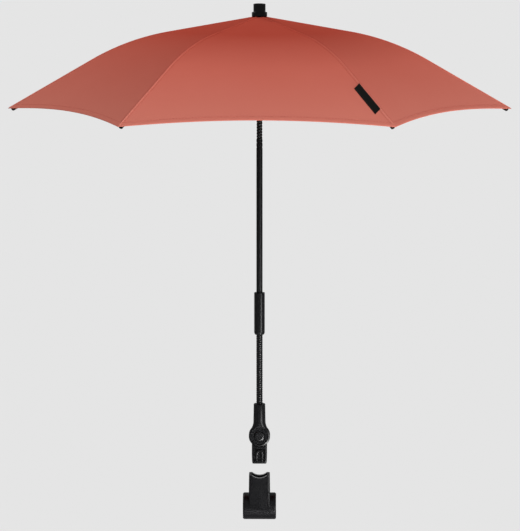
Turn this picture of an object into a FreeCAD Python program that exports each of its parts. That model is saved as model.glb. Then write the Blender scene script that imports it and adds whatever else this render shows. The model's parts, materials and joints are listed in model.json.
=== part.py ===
import FreeCAD, Part
import math
import os
import re

import Sketcher
from FreeCAD import Placement, Rotation, Vector

# A pram parasol: a folding canopy of six gores on an arm with two goosenecks, and the clip that
# holds it on a pram's tube. Lengths are in millimetres and angles in degrees. The origin is the
# middle of the clip's bore, +X runs along the pram's tube, the viewer is on the -Y side, +Z is up.

RIBS = 6
FULL_TURN = 360
QUARTER_TURN = FULL_TURN / 4
RIB_STEP = FULL_TURN / RIBS
WIRE_SIDES = 6
BEND_SHARE = 1.4
TURNS_COMPARED = 8
TAG_RIB = 5

SIZES = {
    # one overrun for every cut, and the gap kept between pieces that move on each other
    "overrun": 2.0,
    "clearance": 0.3,
    "fit": 0.1,
    # clip for the pram's tube
    "clamp_bore": 26.0,
    "liner_thickness": 1.8,
    "clamp_wall": 4.85,
    "clamp_length": 48.9,
    "clamp_mouth": 20.0,
    "clamp_edge": 1.2,
    "liner_inset": 0.8,
    "stem_width": 31.3,
    "stem_depth": 24.0,
    "stem_drop": 13.1,
    "stem_round": 3.0,
    "floor_thickness": 7.0,
    "scoop_clearance": 1.3,
    # plug on the arm's lower end
    "plug_width": 22.3,
    "plug_depth": 14.0,
    "plug_length": 25.5,
    "plug_chamfer": 1.5,
    "plug_round": 2.2,
    "shoulder_drop": 10.5,
    "dock_travel": 44.7,
    "window_width": 16.4,
    "window_height": 19.0,
    "window_depth": 3.0,
    "window_base": 3.2,
    "arch_width": 10.6,
    "arch_height": 17.0,
    "arch_bar": 1.8,
    "arch_setback": 0.4,
    "tongue_radius": 11.5,
    "tongue_thickness": 6.0,
    "tongue_neck": 12.4,
    "tongue_wall": 2.0,
    # pivot head
    "disc_diameter": 31.2,
    "disc_thickness": 15.0,
    "disc_edge": 1.8,
    "socket_diameter": 17.2,
    "socket_rise": 47.8,
    "flare_rise": 21.8,
    "flare_round": 6.0,
    "slot_rise": 3.6,
    "dish_radius": 13.4,
    "dish_floor": 12.2,
    "dish_depth": 1.2,
    # lock button with its spring, and the pivot pin
    "button_diameter": 14.0,
    "button_proud": 1.0,
    "button_length": 6.6,
    "button_wall": 1.0,
    "button_cap": 1.6,
    "button_edge": 0.8,
    "spring_diameter": 10.0,
    "spring_wire": 0.8,
    "spring_pitch": 1.6,
    "pin_diameter": 6.0,
    "pin_head": 10.0,
    "pin_head_height": 1.6,
    "pin_reach": 8.2,
    # goosenecks
    "lower_neck_length": 103.4,
    "lower_neck_diameter": 9.1,
    "lower_neck_wire": 2.3,
    "lower_neck_pitch": 3.2,
    "upper_neck_length": 48.0,
    "upper_neck_diameter": 8.5,
    "upper_neck_wire": 2.5,
    "upper_neck_pitch": 4.3,
    "neck_seat": 3.0,
    "core_seat": 12.0,
    # collar and pole
    "collar_diameter": 15.5,
    "collar_length": 61.7,
    "collar_bevel": 1.2,
    "collar_bevel_height": 3.2,
    "collar_edge": 0.7,
    "pole_diameter": 9.0,
    "pole_wall": 1.0,
    "pole_insert": 35.0,
    "pole_reach": 224.0,
    "pole_edge": 0.5,
    "crimp_length": 15.0,
    "groove_depth": 0.5,
    "groove_width": 1.8,
    "groove_first": 4.6,
    "groove_second": 11.4,
    # shaft, crown and ferrule
    "shaft_reach": 125.5,
    "shaft_rise": 13.0,
    "shaft_end": 14.0,
    "hub_diameter": 27.0,
    "hub_roof": 1.4,
    "hub_depth": 6.5,
    "hinge_radius": 10.0,
    "tie_wire": 1.2,
    "ferrule_diameter": 17.4,
    "ferrule_height": 17.2,
    "ferrule_edge": 1.5,
    "flange_diameter": 22.0,
    "flange_height": 5.6,
    "flange_edge": 1.2,
    # ribs and their tips
    "rib_diameter": 3.0,
    "rib_inner_run": 120.0,
    "rib_bend_run": 110.0,
    "rib_outer_run": 116.0,
    "rib_root_slope": 9.9,
    "rib_tip_slope": 29.9,
    "eye_thickness": 2.4,
    "joint_reach": 118.0,
    "joint_drop": 2.0,
    "joint_boss": 2.4,
    "joint_pin_diameter": 1.6,
    "tip_diameter": 6.4,
    "tip_grip": 9.0,
    "tip_end": 3.0,
    "tip_nose": 1.6,
    # stretchers
    "stretcher_diameter": 2.6,
    "fork_length": 13.0,
    "fork_plate": 1.1,
    "fork_height": 4.6,
    "fork_bridge": 3.0,
    # runner and its catch
    "runner_seat": 40.5,
    "runner_bore": 9.8,
    "runner_sleeve": 13.2,
    "runner_flange": 27.0,
    "runner_flange_height": 8.0,
    "runner_tail": 16.2,
    "runner_bead": 16.4,
    "runner_bead_height": 3.0,
    "catch_width": 2.0,
    "catch_proud": 1.6,
    "catch_ledge": 1.4,
    "catch_back": 1.5,
    # cover
    "cloth_thickness": 0.6,
    "cloth_overhang": 6.0,
    "hem_hollow": 12.0,
    "seam_gap": 0.3,
    "tag_length": 61.0,
    "tag_width": 12.4,
    "tag_slant": 12.5,
    "tag_thickness": 0.8,
    "tag_start": 37.5,
}

# Lengths and places that follow from the sizes above.
FORMULAS = {
    "liner_bore_radius": "clamp_bore / 2",
    "clamp_bore_radius": "liner_bore_radius + liner_thickness + fit",
    "clamp_radius": "clamp_bore_radius + clamp_wall",
    "arm_y": "stem_depth / 2 - clamp_radius",
    "socket_floor": "clamp_bore_radius + floor_thickness",
    "disc_radius": "disc_diameter / 2",
    "docked_height": "socket_floor + clearance + plug_length + disc_radius",
    "disc_height": "docked_height + dock_travel",
    "stem_top": "docked_height - stem_drop",
    "plug_bottom": "disc_height - disc_radius - plug_length",
    "plug_top": "disc_height - shoulder_drop",
    "window_bottom": "plug_bottom + window_base",
    "button_radius": "button_diameter / 2",
    "pocket_radius": "button_radius + clearance",
    "socket_radius": "socket_diameter / 2",
    "flare_radius": "(socket_radius ^ 2 + flare_rise ^ 2 - disc_radius ^ 2)"
                    " / (2 * (disc_radius - socket_radius))",
    "flare_half": "disc_radius * (socket_radius + flare_radius) / (disc_radius + flare_radius)",
    "head_front": "arm_y - disc_thickness / 2",
    "head_back": "arm_y + disc_thickness / 2",
    "slot_half": "tongue_thickness / 2 + clearance",
    "pocket_floor": "arm_y + tongue_thickness / 2 - tongue_wall",
    "button_front": "head_front - button_proud",
    "spring_room": "pocket_floor - button_front - button_cap",
    "head_top": "disc_height + socket_rise",
    "collar_bottom": "head_top + lower_neck_length",
    "collar_top": "collar_bottom + collar_length",
    "pole_radius": "pole_diameter / 2",
    "pole_bottom": "collar_top - pole_insert",
    "pole_top": "collar_top + pole_reach",
    "pole_length": "pole_insert + pole_reach",
    "lower_core_radius": "lower_neck_diameter / 2 - lower_neck_wire - clearance",
    "upper_core_radius": "upper_neck_diameter / 2 - upper_neck_wire - clearance",
    "shaft_bottom": "pole_top + upper_neck_length",
    "shaft_length": "shaft_reach + shaft_rise",
    "hub_height": "shaft_bottom + shaft_reach",
    "hub_radius": "hub_diameter / 2",
    "rib_radius": "rib_diameter / 2",
    "eye_radius": "rib_radius + fit",
    "slot_width": "rib_diameter + 2 * clearance",
    "slot_inner": "hinge_radius - eye_radius - 2 * clearance",
    "tie_radius": "tie_wire / 2",
    "eye_hole": "tie_radius + fit",
    "cloth_rise": "rib_radius + clearance",
    "cloth_lift": "cloth_rise / cos(rib_root_slope)",
    "cloth_height": "cloth_thickness / cos(rib_root_slope)",
    "inner_length": "rib_inner_run / cos(rib_root_slope)",
    "inner_fall": "rib_inner_run * tan(rib_root_slope)",
    "bend_radius": "rib_bend_run / (sin(rib_tip_slope) - sin(rib_root_slope))",
    "bend_fall": "bend_radius * (cos(rib_root_slope) - cos(rib_tip_slope))",
    "outer_length": "rib_outer_run / cos(rib_tip_slope)",
    "bend_end_run": "rib_inner_run + rib_bend_run",
    "bend_end_fall": "inner_fall + bend_fall",
    "joint_run": "joint_reach * cos(rib_root_slope) - joint_drop * sin(rib_root_slope)",
    "joint_fall": "joint_reach * sin(rib_root_slope) + joint_drop * cos(rib_root_slope)",
    "runner_drop": "shaft_reach - runner_seat",
    "stretcher_fall": "runner_drop - joint_fall",
    "stretcher_length": "sqrt(joint_run ^ 2 + stretcher_fall ^ 2)",
    "joint_pin_radius": "joint_pin_diameter / 2",
    "fork_inside": "rib_radius + clearance",
    "fork_outside": "fork_inside + fork_plate",
    "runner_height": "hub_height - runner_drop",
    "catch_bottom": "shaft_bottom + shaft_end + clearance",
    "catch_top": "runner_height - runner_tail - clearance",
    "catch_height": "catch_top - catch_bottom",
}

WORD = re.compile(r"[a-z][a-z_]*")
FUNCTIONS = {"sin", "cos", "tan", "sqrt"}
PLACES = {"x": "Placement.Base.x", "y": "Placement.Base.y", "z": "Placement.Base.z"}
AIMS = {
    "X": Rotation(Vector(0, 1, 0), QUARTER_TURN),
    "Y": Rotation(Vector(1, 0, 0), -QUARTER_TURN),
    "-Y": Rotation(Vector(1, 0, 0), QUARTER_TURN),
    "Z": Rotation(),
}

doc = FreeCAD.newDocument("pram_parasol")
sizes_sheet = doc.addObject("Spreadsheet::Sheet", "Sizes")
derived_sheet = doc.addObject("Spreadsheet::Sheet", "Derived")
subparts = []


def cells(formula, own_sheet=""):
    """The formula with each name pointing at the sheet that holds it."""

    def cell(found):
        word = found.group()
        if word in FUNCTIONS:
            return word
        sheet = "Sizes" if word in SIZES else "Derived"
        return word if sheet == own_sheet else f"{sheet}.{word}"

    return WORD.sub(cell, formula)


def fill_sheets():
    """Put the driving sizes in one sheet as plain numbers, and what follows from them in another."""
    for row, (name, value) in enumerate(SIZES.items(), start=1):
        sizes_sheet.set(f"A{row}", name)
        sizes_sheet.set(f"B{row}", str(value))
        sizes_sheet.setAlias(f"B{row}", name)
    for row, (name, formula) in enumerate(FORMULAS.items(), start=1):
        derived_sheet.set(f"A{row}", name)
        derived_sheet.set(f"B{row}", "=" + cells(formula, "Derived"))
        derived_sheet.setAlias(f"B{row}", name)
    doc.recompute()


def size(name):
    """The number that a sheet holds under this name."""
    sheet = sizes_sheet if name in SIZES else derived_sheet
    return float(getattr(sheet, name))


def bind(thing, **formulas):
    """Tie a thing's properties, or its place by x, y and z, to formulas over the sheets."""
    for name, formula in formulas.items():
        thing.setExpression(PLACES.get(name, name), cells(formula))
    return thing


def keep(thing):
    """Count a thing as one of the object's sub-parts."""
    subparts.append(thing)
    return thing


def block(name, wide, deep, tall, x="0", y="arm_y", z="0"):
    """A box centred on x and y that stands on z."""
    made = doc.addObject("Part::Box", name)
    bind(made, Length=wide, Width=deep, Height=tall)
    return bind(made, x=f"{x} - ({wide}) / 2", y=f"{y} - ({deep}) / 2", z=z)


def rod(name, radius, length, aim="Z", x="0", y="arm_y", z="0"):
    """A cylinder that starts at a place and runs along an axis."""
    made = doc.addObject("Part::Cylinder", name)
    made.Placement = Placement(Vector(), AIMS[aim])
    return bind(made, Radius=radius, Height=length, x=x, y=y, z=z)


def cross_rod(name, radius, length, x="0", z="0", middle="arm_y"):
    """A cylinder along Y, centred on the arm's plane."""
    return rod(name, radius, length, "Y", x, f"{middle} - ({length}) / 2", z)


def join(name, *pieces):
    """Several solids as one."""
    made = doc.addObject("Part::MultiFuse", name)
    made.Shapes = list(pieces)
    return made


def cut(name, base, *tools):
    """A solid less one or more others."""
    made = doc.addObject("Part::Cut", name)
    made.Base = base
    made.Tool = tools[0] if len(tools) == 1 else join(f"{name}_tools", *tools)
    return made


def eased(name, kind, base, amount, chosen):
    """A solid with some edges rounded or bevelled: chosen says which edges."""
    doc.recompute()
    made = doc.addObject(f"Part::{kind}", name)
    made.Base = base
    edges = enumerate(base.Shape.Edges, start=1)
    made.Edges = [(number, amount, amount) for number, edge in edges if chosen(edge)]
    return made


def level_edges(height):
    """Chooses the edges that lie at one height."""
    return lambda edge: all(abs(v.Z - height) < size("fit") for v in edge.Vertexes)


def upright_edges(edge):
    """Chooses straight edges along Z."""
    way = edge.lastVertex().Point - edge.firstVertex().Point if len(edge.Vertexes) == 2 else Vector()
    return way.Length > 0 and abs(way.z) / way.Length > math.cos(math.radians(1))


def plane_of(body, role):
    """One of a body's own origin planes."""
    return next(plane for plane in body.Origin.OriginFeatures if plane.Role == role)


def outline(body, role, points):
    """A closed sketch of straight lines on one of the body's planes, each corner tied to two formulas."""
    sketch = body.newObject("Sketcher::SketchObject", f"{body.Name}_outline")
    sketch.AttachmentSupport = (plane_of(body, role), [""])
    sketch.MapMode = "FlatFace"
    count = len(points)
    ring = [Rotation(Vector(0, 0, 1), FULL_TURN * i / count) * Vector(1, 0, 0) for i in range(count)]
    for i in range(count):
        sketch.addGeometry(Part.LineSegment(ring[i], ring[(i + 1) % count]))
    for i in range(count):
        sketch.addConstraint(Sketcher.Constraint("Coincident", i, 2, (i + 1) % count, 1))
    for i, point in enumerate(points):
        for kind, formula, first in zip(("DistanceX", "DistanceY"), point, ring[i]):
            number = sketch.addConstraint(Sketcher.Constraint(kind, -1, 1, i, 1, first))
            sketch.setExpression(f"Constraints[{number}]", cells(formula))
    return sketch


def turned(name, points, aim="Z", x="0", y="arm_y", z="0"):
    """A body turned about its own Z from corners given as radius and height."""
    body = doc.addObject("PartDesign::Body", name)
    sketch = outline(body, "XZ_Plane", points)
    spin = body.newObject("PartDesign::Revolution", f"{name}_turn")
    spin.Profile = sketch
    spin.ReferenceAxis = (sketch, ["V_Axis"])
    spin.Angle = FULL_TURN
    body.Placement = Placement(Vector(), AIMS[aim])
    return bind(body, x=x, y=y, z=z)


def notched(body, outside, height):
    """Cut the six radial slots of a hub or runner right through a turned body."""
    sketch = outline(body, "XY_Plane", [
        ("slot_inner", "-slot_width / 2"),
        (f"{outside} + overrun", "-slot_width / 2"),
        (f"{outside} + overrun", "slot_width / 2"),
        ("slot_inner", "slot_width / 2"),
    ])
    doc.recompute()
    slot = body.newObject("PartDesign::Pocket", f"{body.Name}_slot")
    slot.Profile = sketch
    slot.SideType = "Symmetric"
    bind(slot, Length=f"2 * ({height} + overrun)")
    doc.recompute()
    pattern = body.newObject("PartDesign::PolarPattern", f"{body.Name}_slots")
    pattern.Originals = [slot]
    pattern.Axis = (sketch, ["N_Axis"])
    pattern.Angle = FULL_TURN
    pattern.Occurrences = RIBS
    body.Tip = pattern
    return body


def ring(name, radius, wire, height):
    """A wire ring about the arm's axis."""
    made = doc.addObject("Part::Torus", name)
    return bind(made, Radius1=radius, Radius2=wire, y="arm_y", z=height)


def about_axis(index, run, height):
    """A placement turned to one rib's direction, run out from the arm's axis at a height."""
    turn = Rotation(Vector(0, 0, 1), RIB_STEP * index)
    return Placement(Vector(0, size("arm_y"), height) + turn * Vector(run, 0, 0), turn)


def solid(name, shape):
    """A sub-part made straight from a shape."""
    made = doc.addObject("Part::Feature", name)
    made.Shape = shape
    return made


def arc_mid(start, corner, end):
    """The middle of the arc from start to end whose end tangents meet at corner."""
    middle = (start + end) * 0.5
    half = (end - start).Length / 2
    rise = corner - middle
    quarter = math.atan2(rise.Length, half) / 2
    return middle + rise.normalize() * (half * math.tan(quarter))


def biarc(start, start_way, end, end_way):
    """Two arcs that run smoothly from one point and direction to another."""
    chord = end - start
    along = chord.dot(start_way + end_way)
    spare = 2 * (1 - start_way.dot(end_way))
    reach = (math.sqrt(along ** 2 + spare * chord.dot(chord)) - along) / spare
    first_corner = start + start_way * reach
    second_corner = end - end_way * reach
    meeting = (first_corner + second_corner) * 0.5
    first = Part.Arc(start, arc_mid(start, first_corner, meeting), meeting)
    second = Part.Arc(meeting, arc_mid(meeting, second_corner, end), end)
    return [first.toShape(), second.toShape()]


def winding(radius, wire, pitch, length):
    """One unbroken wound wire from height zero to length: straight ends, and turns between them."""
    up = Vector(0, 0, 1)
    lead = wire
    climb = BEND_SHARE * wire
    sweep = climb / radius
    turns_height = length - 2 * (lead + climb)
    turns = turns_height / pitch
    halves = max(1, round(turns * 2))
    step = math.tau * turns / halves

    def rim(angle, height):
        return Vector(radius * math.cos(angle), radius * math.sin(angle), height)

    def point(angle):
        return rim(angle, lead + climb + pitch * (angle - sweep) / math.tau)

    def way(angle):
        return Vector(-radius * math.sin(angle), radius * math.cos(angle), pitch / math.tau).normalize()

    angles = [sweep + step * i for i in range(halves + 1)]
    last = angles[-1]
    edges = [Part.LineSegment(rim(0, 0), rim(0, lead)).toShape()]
    edges += biarc(rim(0, lead), up, point(sweep), way(sweep))
    for angle, after in zip(angles, angles[1:]):
        edges += biarc(point(angle), way(angle), point(after), way(after))
    edges += biarc(point(last), way(last), rim(last + sweep, length - lead), up)
    edges.append(Part.LineSegment(rim(last + sweep, length - lead), rim(last + sweep, length)).toShape())
    path = Part.Wire(edges)
    sides = [Rotation(up, FULL_TURN * i / WIRE_SIDES) * Vector(wire / 2, 0, 0) for i in range(WIRE_SIDES + 1)]
    section = Part.makePolygon([rim(0, 0) + side for side in sides])
    made = path.makePipeShell([section], True, False)
    return made, self_gap(path, wire, pitch)


def self_gap(path, wire, pitch):
    """The least gap between a wound wire's neighbouring turns, measured on points of its centre line."""
    points = path.discretize(Distance=wire / 2)
    apart = math.tau * wire
    step = path.Length / (len(points) - 1)
    skip = max(1, round(apart / step))
    beyond = TURNS_COMPARED * skip
    nearest = min((a - b).Length for i, a in enumerate(points) for b in points[i + skip:i + beyond])
    return nearest - wire


def clip_pieces():
    """The clip: a C-shaped ring on the pram's tube, a socket stem on it, and a rubber liner."""
    tube = rod("clamp_ring", "clamp_radius", "clamp_length", "X", "-clamp_length / 2", "0")
    tube = eased("clamp_ring_eased", "Fillet", tube, size("clamp_edge"), lambda edge: edge.isClosed())
    stem = block("clamp_stem", "stem_width", "stem_depth", "stem_top")
    corners = eased("clamp_stem_round", "Fillet", stem, size("stem_round"), upright_edges)
    bore = rod("clamp_bore_cut", "clamp_bore_radius", "clamp_length + 2 * overrun", "X",
               "-clamp_length / 2 - overrun", "0")
    mouth = block("clamp_mouth_cut", "clamp_length + 2 * overrun", "clamp_radius + overrun", "clamp_mouth",
                  y="(clamp_radius + overrun) / 2", z="-clamp_mouth / 2")
    socket = block("clamp_socket", "plug_width + 2 * clearance", "plug_depth + 2 * clearance",
                   "stem_top - socket_floor + overrun", z="socket_floor")
    scoop = cross_rod("clamp_scoop", "disc_radius + scoop_clearance", "stem_depth + 2 * overrun",
                      z="docked_height")
    keep(cut("clamp_body", join("clamp_whole", tube, corners), bore, mouth, socket, scoop))
    sleeve = rod("liner_sleeve", "clamp_bore_radius - fit", "clamp_length - 2 * liner_inset", "X",
                 "liner_inset - clamp_length / 2", "0")
    hole = rod("liner_bore_cut", "liner_bore_radius", "clamp_length", "X", "-clamp_length / 2", "0")
    gap = block("liner_mouth_cut", "clamp_length", "clamp_radius", "clamp_mouth", y="clamp_radius / 2",
                z="-clamp_mouth / 2")
    keep(cut("clamp_liner", sleeve, hole, gap))


def plug_piece():
    """The square plug with its arched window, hollow shoulder and pivot tongue."""
    body = block("plug_block", "plug_width", "plug_depth", "plug_top - plug_bottom", z="plug_bottom")
    body = eased("plug_upright", "Fillet", body, size("plug_round"), upright_edges)
    body = eased("plug_toe", "Chamfer", body, size("plug_chamfer"), level_edges(size("plug_bottom")))
    hollow = cross_rod("plug_hollow", "disc_radius + clearance", "plug_depth + 2 * overrun", z="disc_height")
    front = "arm_y - plug_depth / 2"
    window = block("plug_window", "window_width", "2 * window_depth", "window_height", y=front,
                   z="window_bottom")
    shell = cut("plug_shell", body, hollow, window)
    bar_y = f"{front} + (window_depth + arch_setback) / 2"
    bar_deep = "window_depth - arch_setback"
    round_z = "window_bottom + arch_height - arch_width / 2"
    outer = block("arch_outer", "arch_width", bar_deep, "arch_height - arch_width / 2", y=bar_y,
                  z="window_bottom")
    crown = cross_rod("arch_crown", "arch_width / 2", bar_deep, z=round_z, middle=bar_y)
    inner = block("arch_inner", "arch_width - 2 * arch_bar", "2 * window_depth",
                  "arch_height - arch_width / 2", y=bar_y, z="window_bottom")
    inside = cross_rod("arch_inside", "arch_width / 2 - arch_bar", "2 * window_depth", z=round_z,
                       middle=bar_y)
    arch = cut("plug_arch", join("plug_arch_whole", outer, crown), inner, inside)
    disc = cross_rod("tongue_disc", "tongue_radius", "tongue_thickness", z="disc_height")
    neck = block("tongue_neck_block", "tongue_neck", "tongue_thickness", "disc_radius + plug_chamfer",
                 z="disc_height - disc_radius - plug_chamfer")
    whole = join("plug_whole", shell, arch, disc, neck)
    pocket = rod("tongue_pocket", "pocket_radius", "tongue_thickness - tongue_wall", "-Y", "0",
                 "pocket_floor", "disc_height")
    hole = cross_rod("tongue_hole", "pin_diameter / 2 + fit", "2 * tongue_thickness", z="disc_height")
    keep(cut("plug", whole, pocket, hole))


def head_piece():
    """The pivot head: a round clevis, flared up into the round socket of the lower gooseneck."""
    disc = cross_rod("head_disc", "disc_radius", "disc_thickness", z="disc_height")
    disc = eased("head_disc_eased", "Fillet", disc, size("disc_edge"), lambda edge: edge.isClosed())
    web = block("head_web_block", "2 * flare_half", "disc_thickness", "flare_rise", z="disc_height")
    sides = [cross_rod(f"head_flare_{name}", "flare_radius", "disc_thickness + 2 * overrun",
                       f"{sign} * (socket_radius + flare_radius)", "disc_height + flare_rise")
             for name, sign in (("left", "-1"), ("right", "1"))]
    web = cut("head_web", web, *sides)
    web = eased("head_web_round", "Fillet", web, size("flare_round"),
                lambda edge: edge.Curve.TypeId == "Part::GeomCircle" and edge.Length > size("flare_round"))
    stem = rod("head_stem", "socket_radius", "socket_rise - flare_rise", z="disc_height + flare_rise")
    whole = join("head_whole", disc, web, stem)
    slot = block("head_slot", "disc_diameter + 2 * overrun", "2 * slot_half",
                 "disc_radius + overrun + slot_rise", z="disc_height - disc_radius - overrun")
    swing = cross_rod("head_swing", "tongue_radius + clearance", "2 * slot_half", z="disc_height")
    dish = doc.addObject("Part::Cone", "head_dish")
    dish.Placement = Placement(Vector(), AIMS["Y"])
    bind(dish, Radius1="dish_radius", Radius2="dish_floor", Height="dish_depth")
    bind(dish, y="head_front", z="disc_height")
    button = rod("head_button_hole", "pocket_radius", "disc_thickness / 2 + overrun - slot_half + fit", "Y",
                 "0", "head_front - overrun", "disc_height")
    pin = rod("head_pin_hole", "pin_diameter / 2 + fit", "disc_thickness / 2 + overrun", "Y", "0", "arm_y",
              "disc_height")
    sink = rod("head_pin_sink", "pin_head / 2 + fit", "pin_head_height + overrun", "Y", "0",
               "head_back - pin_head_height", "disc_height")
    seat = rod("head_neck_seat", "lower_neck_diameter / 2 + clearance", "neck_seat + overrun",
               z="head_top - neck_seat")
    core = rod("head_core_hole", "lower_core_radius + fit", "core_seat + overrun", z="head_top - core_seat")
    keep(cut("arm_head", whole, slot, swing, dish, button, pin, sink, seat, core))


def button_pieces():
    """The lock button, its spring and the pivot pin, all on the head's cross axis."""
    keep(turned("lock_button", [
        ("button_radius - button_wall", "0"),
        ("button_radius", "0"),
        ("button_radius", "button_length - button_edge"),
        ("button_radius - button_edge", "button_length"),
        ("0", "button_length"),
        ("0", "button_length - button_cap"),
        ("button_radius - button_wall", "button_length - button_cap"),
    ], "-Y", y="button_front + button_length", z="disc_height"))
    keep(turned("pivot_pin", [
        ("0", "0"),
        ("pin_head / 2", "0"),
        ("pin_head / 2", "pin_head_height"),
        ("pin_diameter / 2", "pin_head_height"),
        ("pin_diameter / 2", "pin_reach"),
        ("0", "pin_reach"),
    ], "-Y", y="head_back", z="disc_height"))
    coil, gap = winding((size("spring_diameter") - size("spring_wire")) / 2, size("spring_wire"),
                        size("spring_pitch"), size("spring_room") - 2 * size("fit"))
    spring = keep(solid("button_spring", coil))
    seat = Vector(0, size("pocket_floor") - size("fit"), size("disc_height"))
    spring.Placement = Placement(seat, AIMS["-Y"])
    print("button spring self gap", round(gap, 2))


def neck_pieces():
    """Both goosenecks: a core that is seated in its neighbours, and an outer wire wound round it."""
    bottoms = {"lower": ("head_top", -size("neck_seat")), "upper": ("pole_top", 0)}
    for name, (start, shift) in bottoms.items():
        keep(rod(f"{name}_neck_core", f"{name}_core_radius",
                 f"{name}_neck_length + 2 * (core_seat - clearance)", z=f"{start} - core_seat + clearance"))
        wire = size(f"{name}_neck_wire")
        radius = (size(f"{name}_neck_diameter") - wire) / 2
        length = size(f"{name}_neck_length") - 2 * (shift + size("clearance"))
        coil, gap = winding(radius, wire, size(f"{name}_neck_pitch"), length)
        made = keep(solid(f"{name}_neck_winding", coil))
        foot = Vector(0, size("arm_y"), size(start) + shift + size("clearance"))
        made.Placement = Placement(foot, Rotation())
        print(name, "neck winding self gap", round(gap, 2))


def pole_pieces():
    """The collar over the lower gooseneck's end, and the pole with its two rolled crimp grooves."""
    seat = "lower_neck_diameter / 2 + clearance"
    keep(turned("collar", [
        ("lower_core_radius + fit", "neck_seat"),
        (seat, "neck_seat"),
        (seat, "0"),
        ("collar_diameter / 2 - collar_bevel", "0"),
        ("collar_diameter / 2", "collar_bevel_height"),
        ("collar_diameter / 2", "collar_length - collar_edge"),
        ("collar_diameter / 2 - collar_edge", "collar_length"),
        ("pole_radius + fit", "collar_length"),
        ("pole_radius + fit", "collar_length - pole_insert"),
        ("lower_core_radius + fit", "collar_length - pole_insert"),
    ], z="collar_bottom"))
    grooves = []
    for place in ("groove_second", "groove_first"):
        middle = f"pole_length - {place}"
        grooves += [
            ("pole_radius", f"{middle} - groove_width / 2"),
            ("pole_radius - groove_depth", f"{middle} - groove_width / 4"),
            ("pole_radius - groove_depth", f"{middle} + groove_width / 4"),
            ("pole_radius", f"{middle} + groove_width / 2"),
        ]
    keep(turned("pole", [
        ("pole_radius - pole_wall", "0"),
        ("pole_radius", "0"),
        *grooves,
        ("pole_radius", "pole_length - pole_edge"),
        ("pole_radius - pole_edge", "pole_length"),
        ("upper_core_radius + fit", "pole_length"),
        ("upper_core_radius + fit", "pole_length - crimp_length"),
        ("pole_radius - pole_wall", "pole_length - crimp_length"),
    ], z="pole_bottom"))


def shaft_pieces():
    """The tube that carries the crown, and the sprung catch in it that holds the runner up."""
    tube = turned("shaft_tube", [
        ("upper_core_radius + fit", "0"),
        ("pole_radius - pole_edge", "0"),
        ("pole_radius", "pole_edge"),
        ("pole_radius", "shaft_length"),
        ("pole_radius - pole_wall", "shaft_length"),
        ("pole_radius - pole_wall", "shaft_end"),
        ("upper_core_radius + fit", "shaft_end"),
    ], z="shaft_bottom")
    slot = block("shaft_slot", "catch_width + 2 * clearance", "pole_radius + overrun",
                 "catch_height + 2 * clearance", y="arm_y + (pole_radius + overrun) / 2",
                 z="catch_bottom - clearance")
    keep(cut("shaft", tube, slot))
    catch = keep(doc.addObject("PartDesign::Body", "runner_catch"))
    nose = "pole_radius + catch_proud"
    sketch = outline(catch, "YZ_Plane", [
        ("clearance", "0"),
        ("catch_back + clearance", "0"),
        (nose, "catch_height - catch_ledge"),
        (nose, "catch_height"),
        ("clearance", "catch_height"),
    ])
    pad = catch.newObject("PartDesign::Pad", "runner_catch_pad")
    pad.Profile = sketch
    pad.SideType = "Symmetric"
    bind(pad, Length="catch_width")
    bind(catch, y="arm_y", z="catch_bottom")


def crown_pieces():
    """The notched hub, the wire that the ribs hinge on, and the ferrule that clamps the cover."""
    slope = "tan(rib_root_slope)"
    hub = turned("hub_turned", [
        ("pole_radius + fit", "-hub_depth"),
        ("hub_radius - clearance", "-hub_depth"),
        ("hub_radius", "clearance - hub_depth"),
        ("hub_radius", f"hub_roof - (hub_radius - hinge_radius) * {slope}"),
        ("pole_radius + fit", f"hub_roof + (hinge_radius - pole_radius - fit) * {slope}"),
    ], z="hub_height")
    notched(hub, "hub_radius", "hub_depth")
    keep(cut("crown_hub", hub, ring("hub_ring_cut", "hinge_radius", "tie_radius + fit", "hub_height")))
    keep(ring("crown_tie_wire", "hinge_radius", "tie_radius", "hub_height"))
    base = f"cloth_lift + cloth_height + clearance + hinge_radius * {slope}"
    hollow_top = f"shaft_rise + fit - ({base})"
    cap = turned("ferrule_turned", [
        ("pole_radius + fit", f"-(pole_radius + fit) * {slope}"),
        ("flange_diameter / 2", f"-flange_diameter / 2 * {slope}"),
        ("flange_diameter / 2", "flange_height - flange_edge"),
        ("flange_diameter / 2 - flange_edge", "flange_height"),
        ("ferrule_diameter / 2", "flange_height"),
        ("ferrule_diameter / 2", "ferrule_height"),
        ("0", "ferrule_height"),
        ("0", hollow_top),
        ("pole_radius + fit", hollow_top),
    ], z=f"hub_height + {base}")
    doc.recompute()
    top = max(v.Z for v in cap.Shape.Vertexes)
    keep(eased("ferrule", "Fillet", cap, size("ferrule_edge"), level_edges(top)))


def runner_pieces():
    """The runner with its notched flange and finger bead, and the wire that the stretchers hinge on."""
    body = turned("runner_turned", [
        ("runner_bore / 2", "-runner_tail"),
        ("runner_bead / 2", "-runner_tail"),
        ("runner_bead / 2", "runner_bead_height - runner_tail"),
        ("runner_sleeve / 2", "runner_bead_height - runner_tail + (runner_bead - runner_sleeve) / 2"),
        ("runner_sleeve / 2", "-runner_flange_height / 2"),
        ("runner_flange / 2", "-runner_flange_height / 2"),
        ("runner_flange / 2", "runner_flange_height / 2"),
        ("runner_bore / 2", "runner_flange_height / 2"),
    ], z="runner_height")
    notched(body, "runner_flange / 2", "runner_flange_height / 2")
    keep(cut("runner", body, ring("runner_ring_cut", "hinge_radius", "tie_radius + fit", "runner_height")))
    keep(ring("runner_tie_wire", "hinge_radius", "tie_radius", "runner_height"))


def sloped(thing, slope, run, fall):
    """Lay a thing's own Z along a rib at a slope, from a point run out from the hinge and fall below it."""
    thing.Placement = Placement(Vector(run, 0, -fall), Rotation(Vector(0, 1, 0), QUARTER_TURN + slope))
    return thing


def rib_rod(name, length, slope, run, fall):
    """A straight stretch of rib."""
    made = doc.addObject("Part::Cylinder", name)
    bind(made, Radius="rib_radius", Height=length)
    return sloped(made, slope, run, fall)


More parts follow.
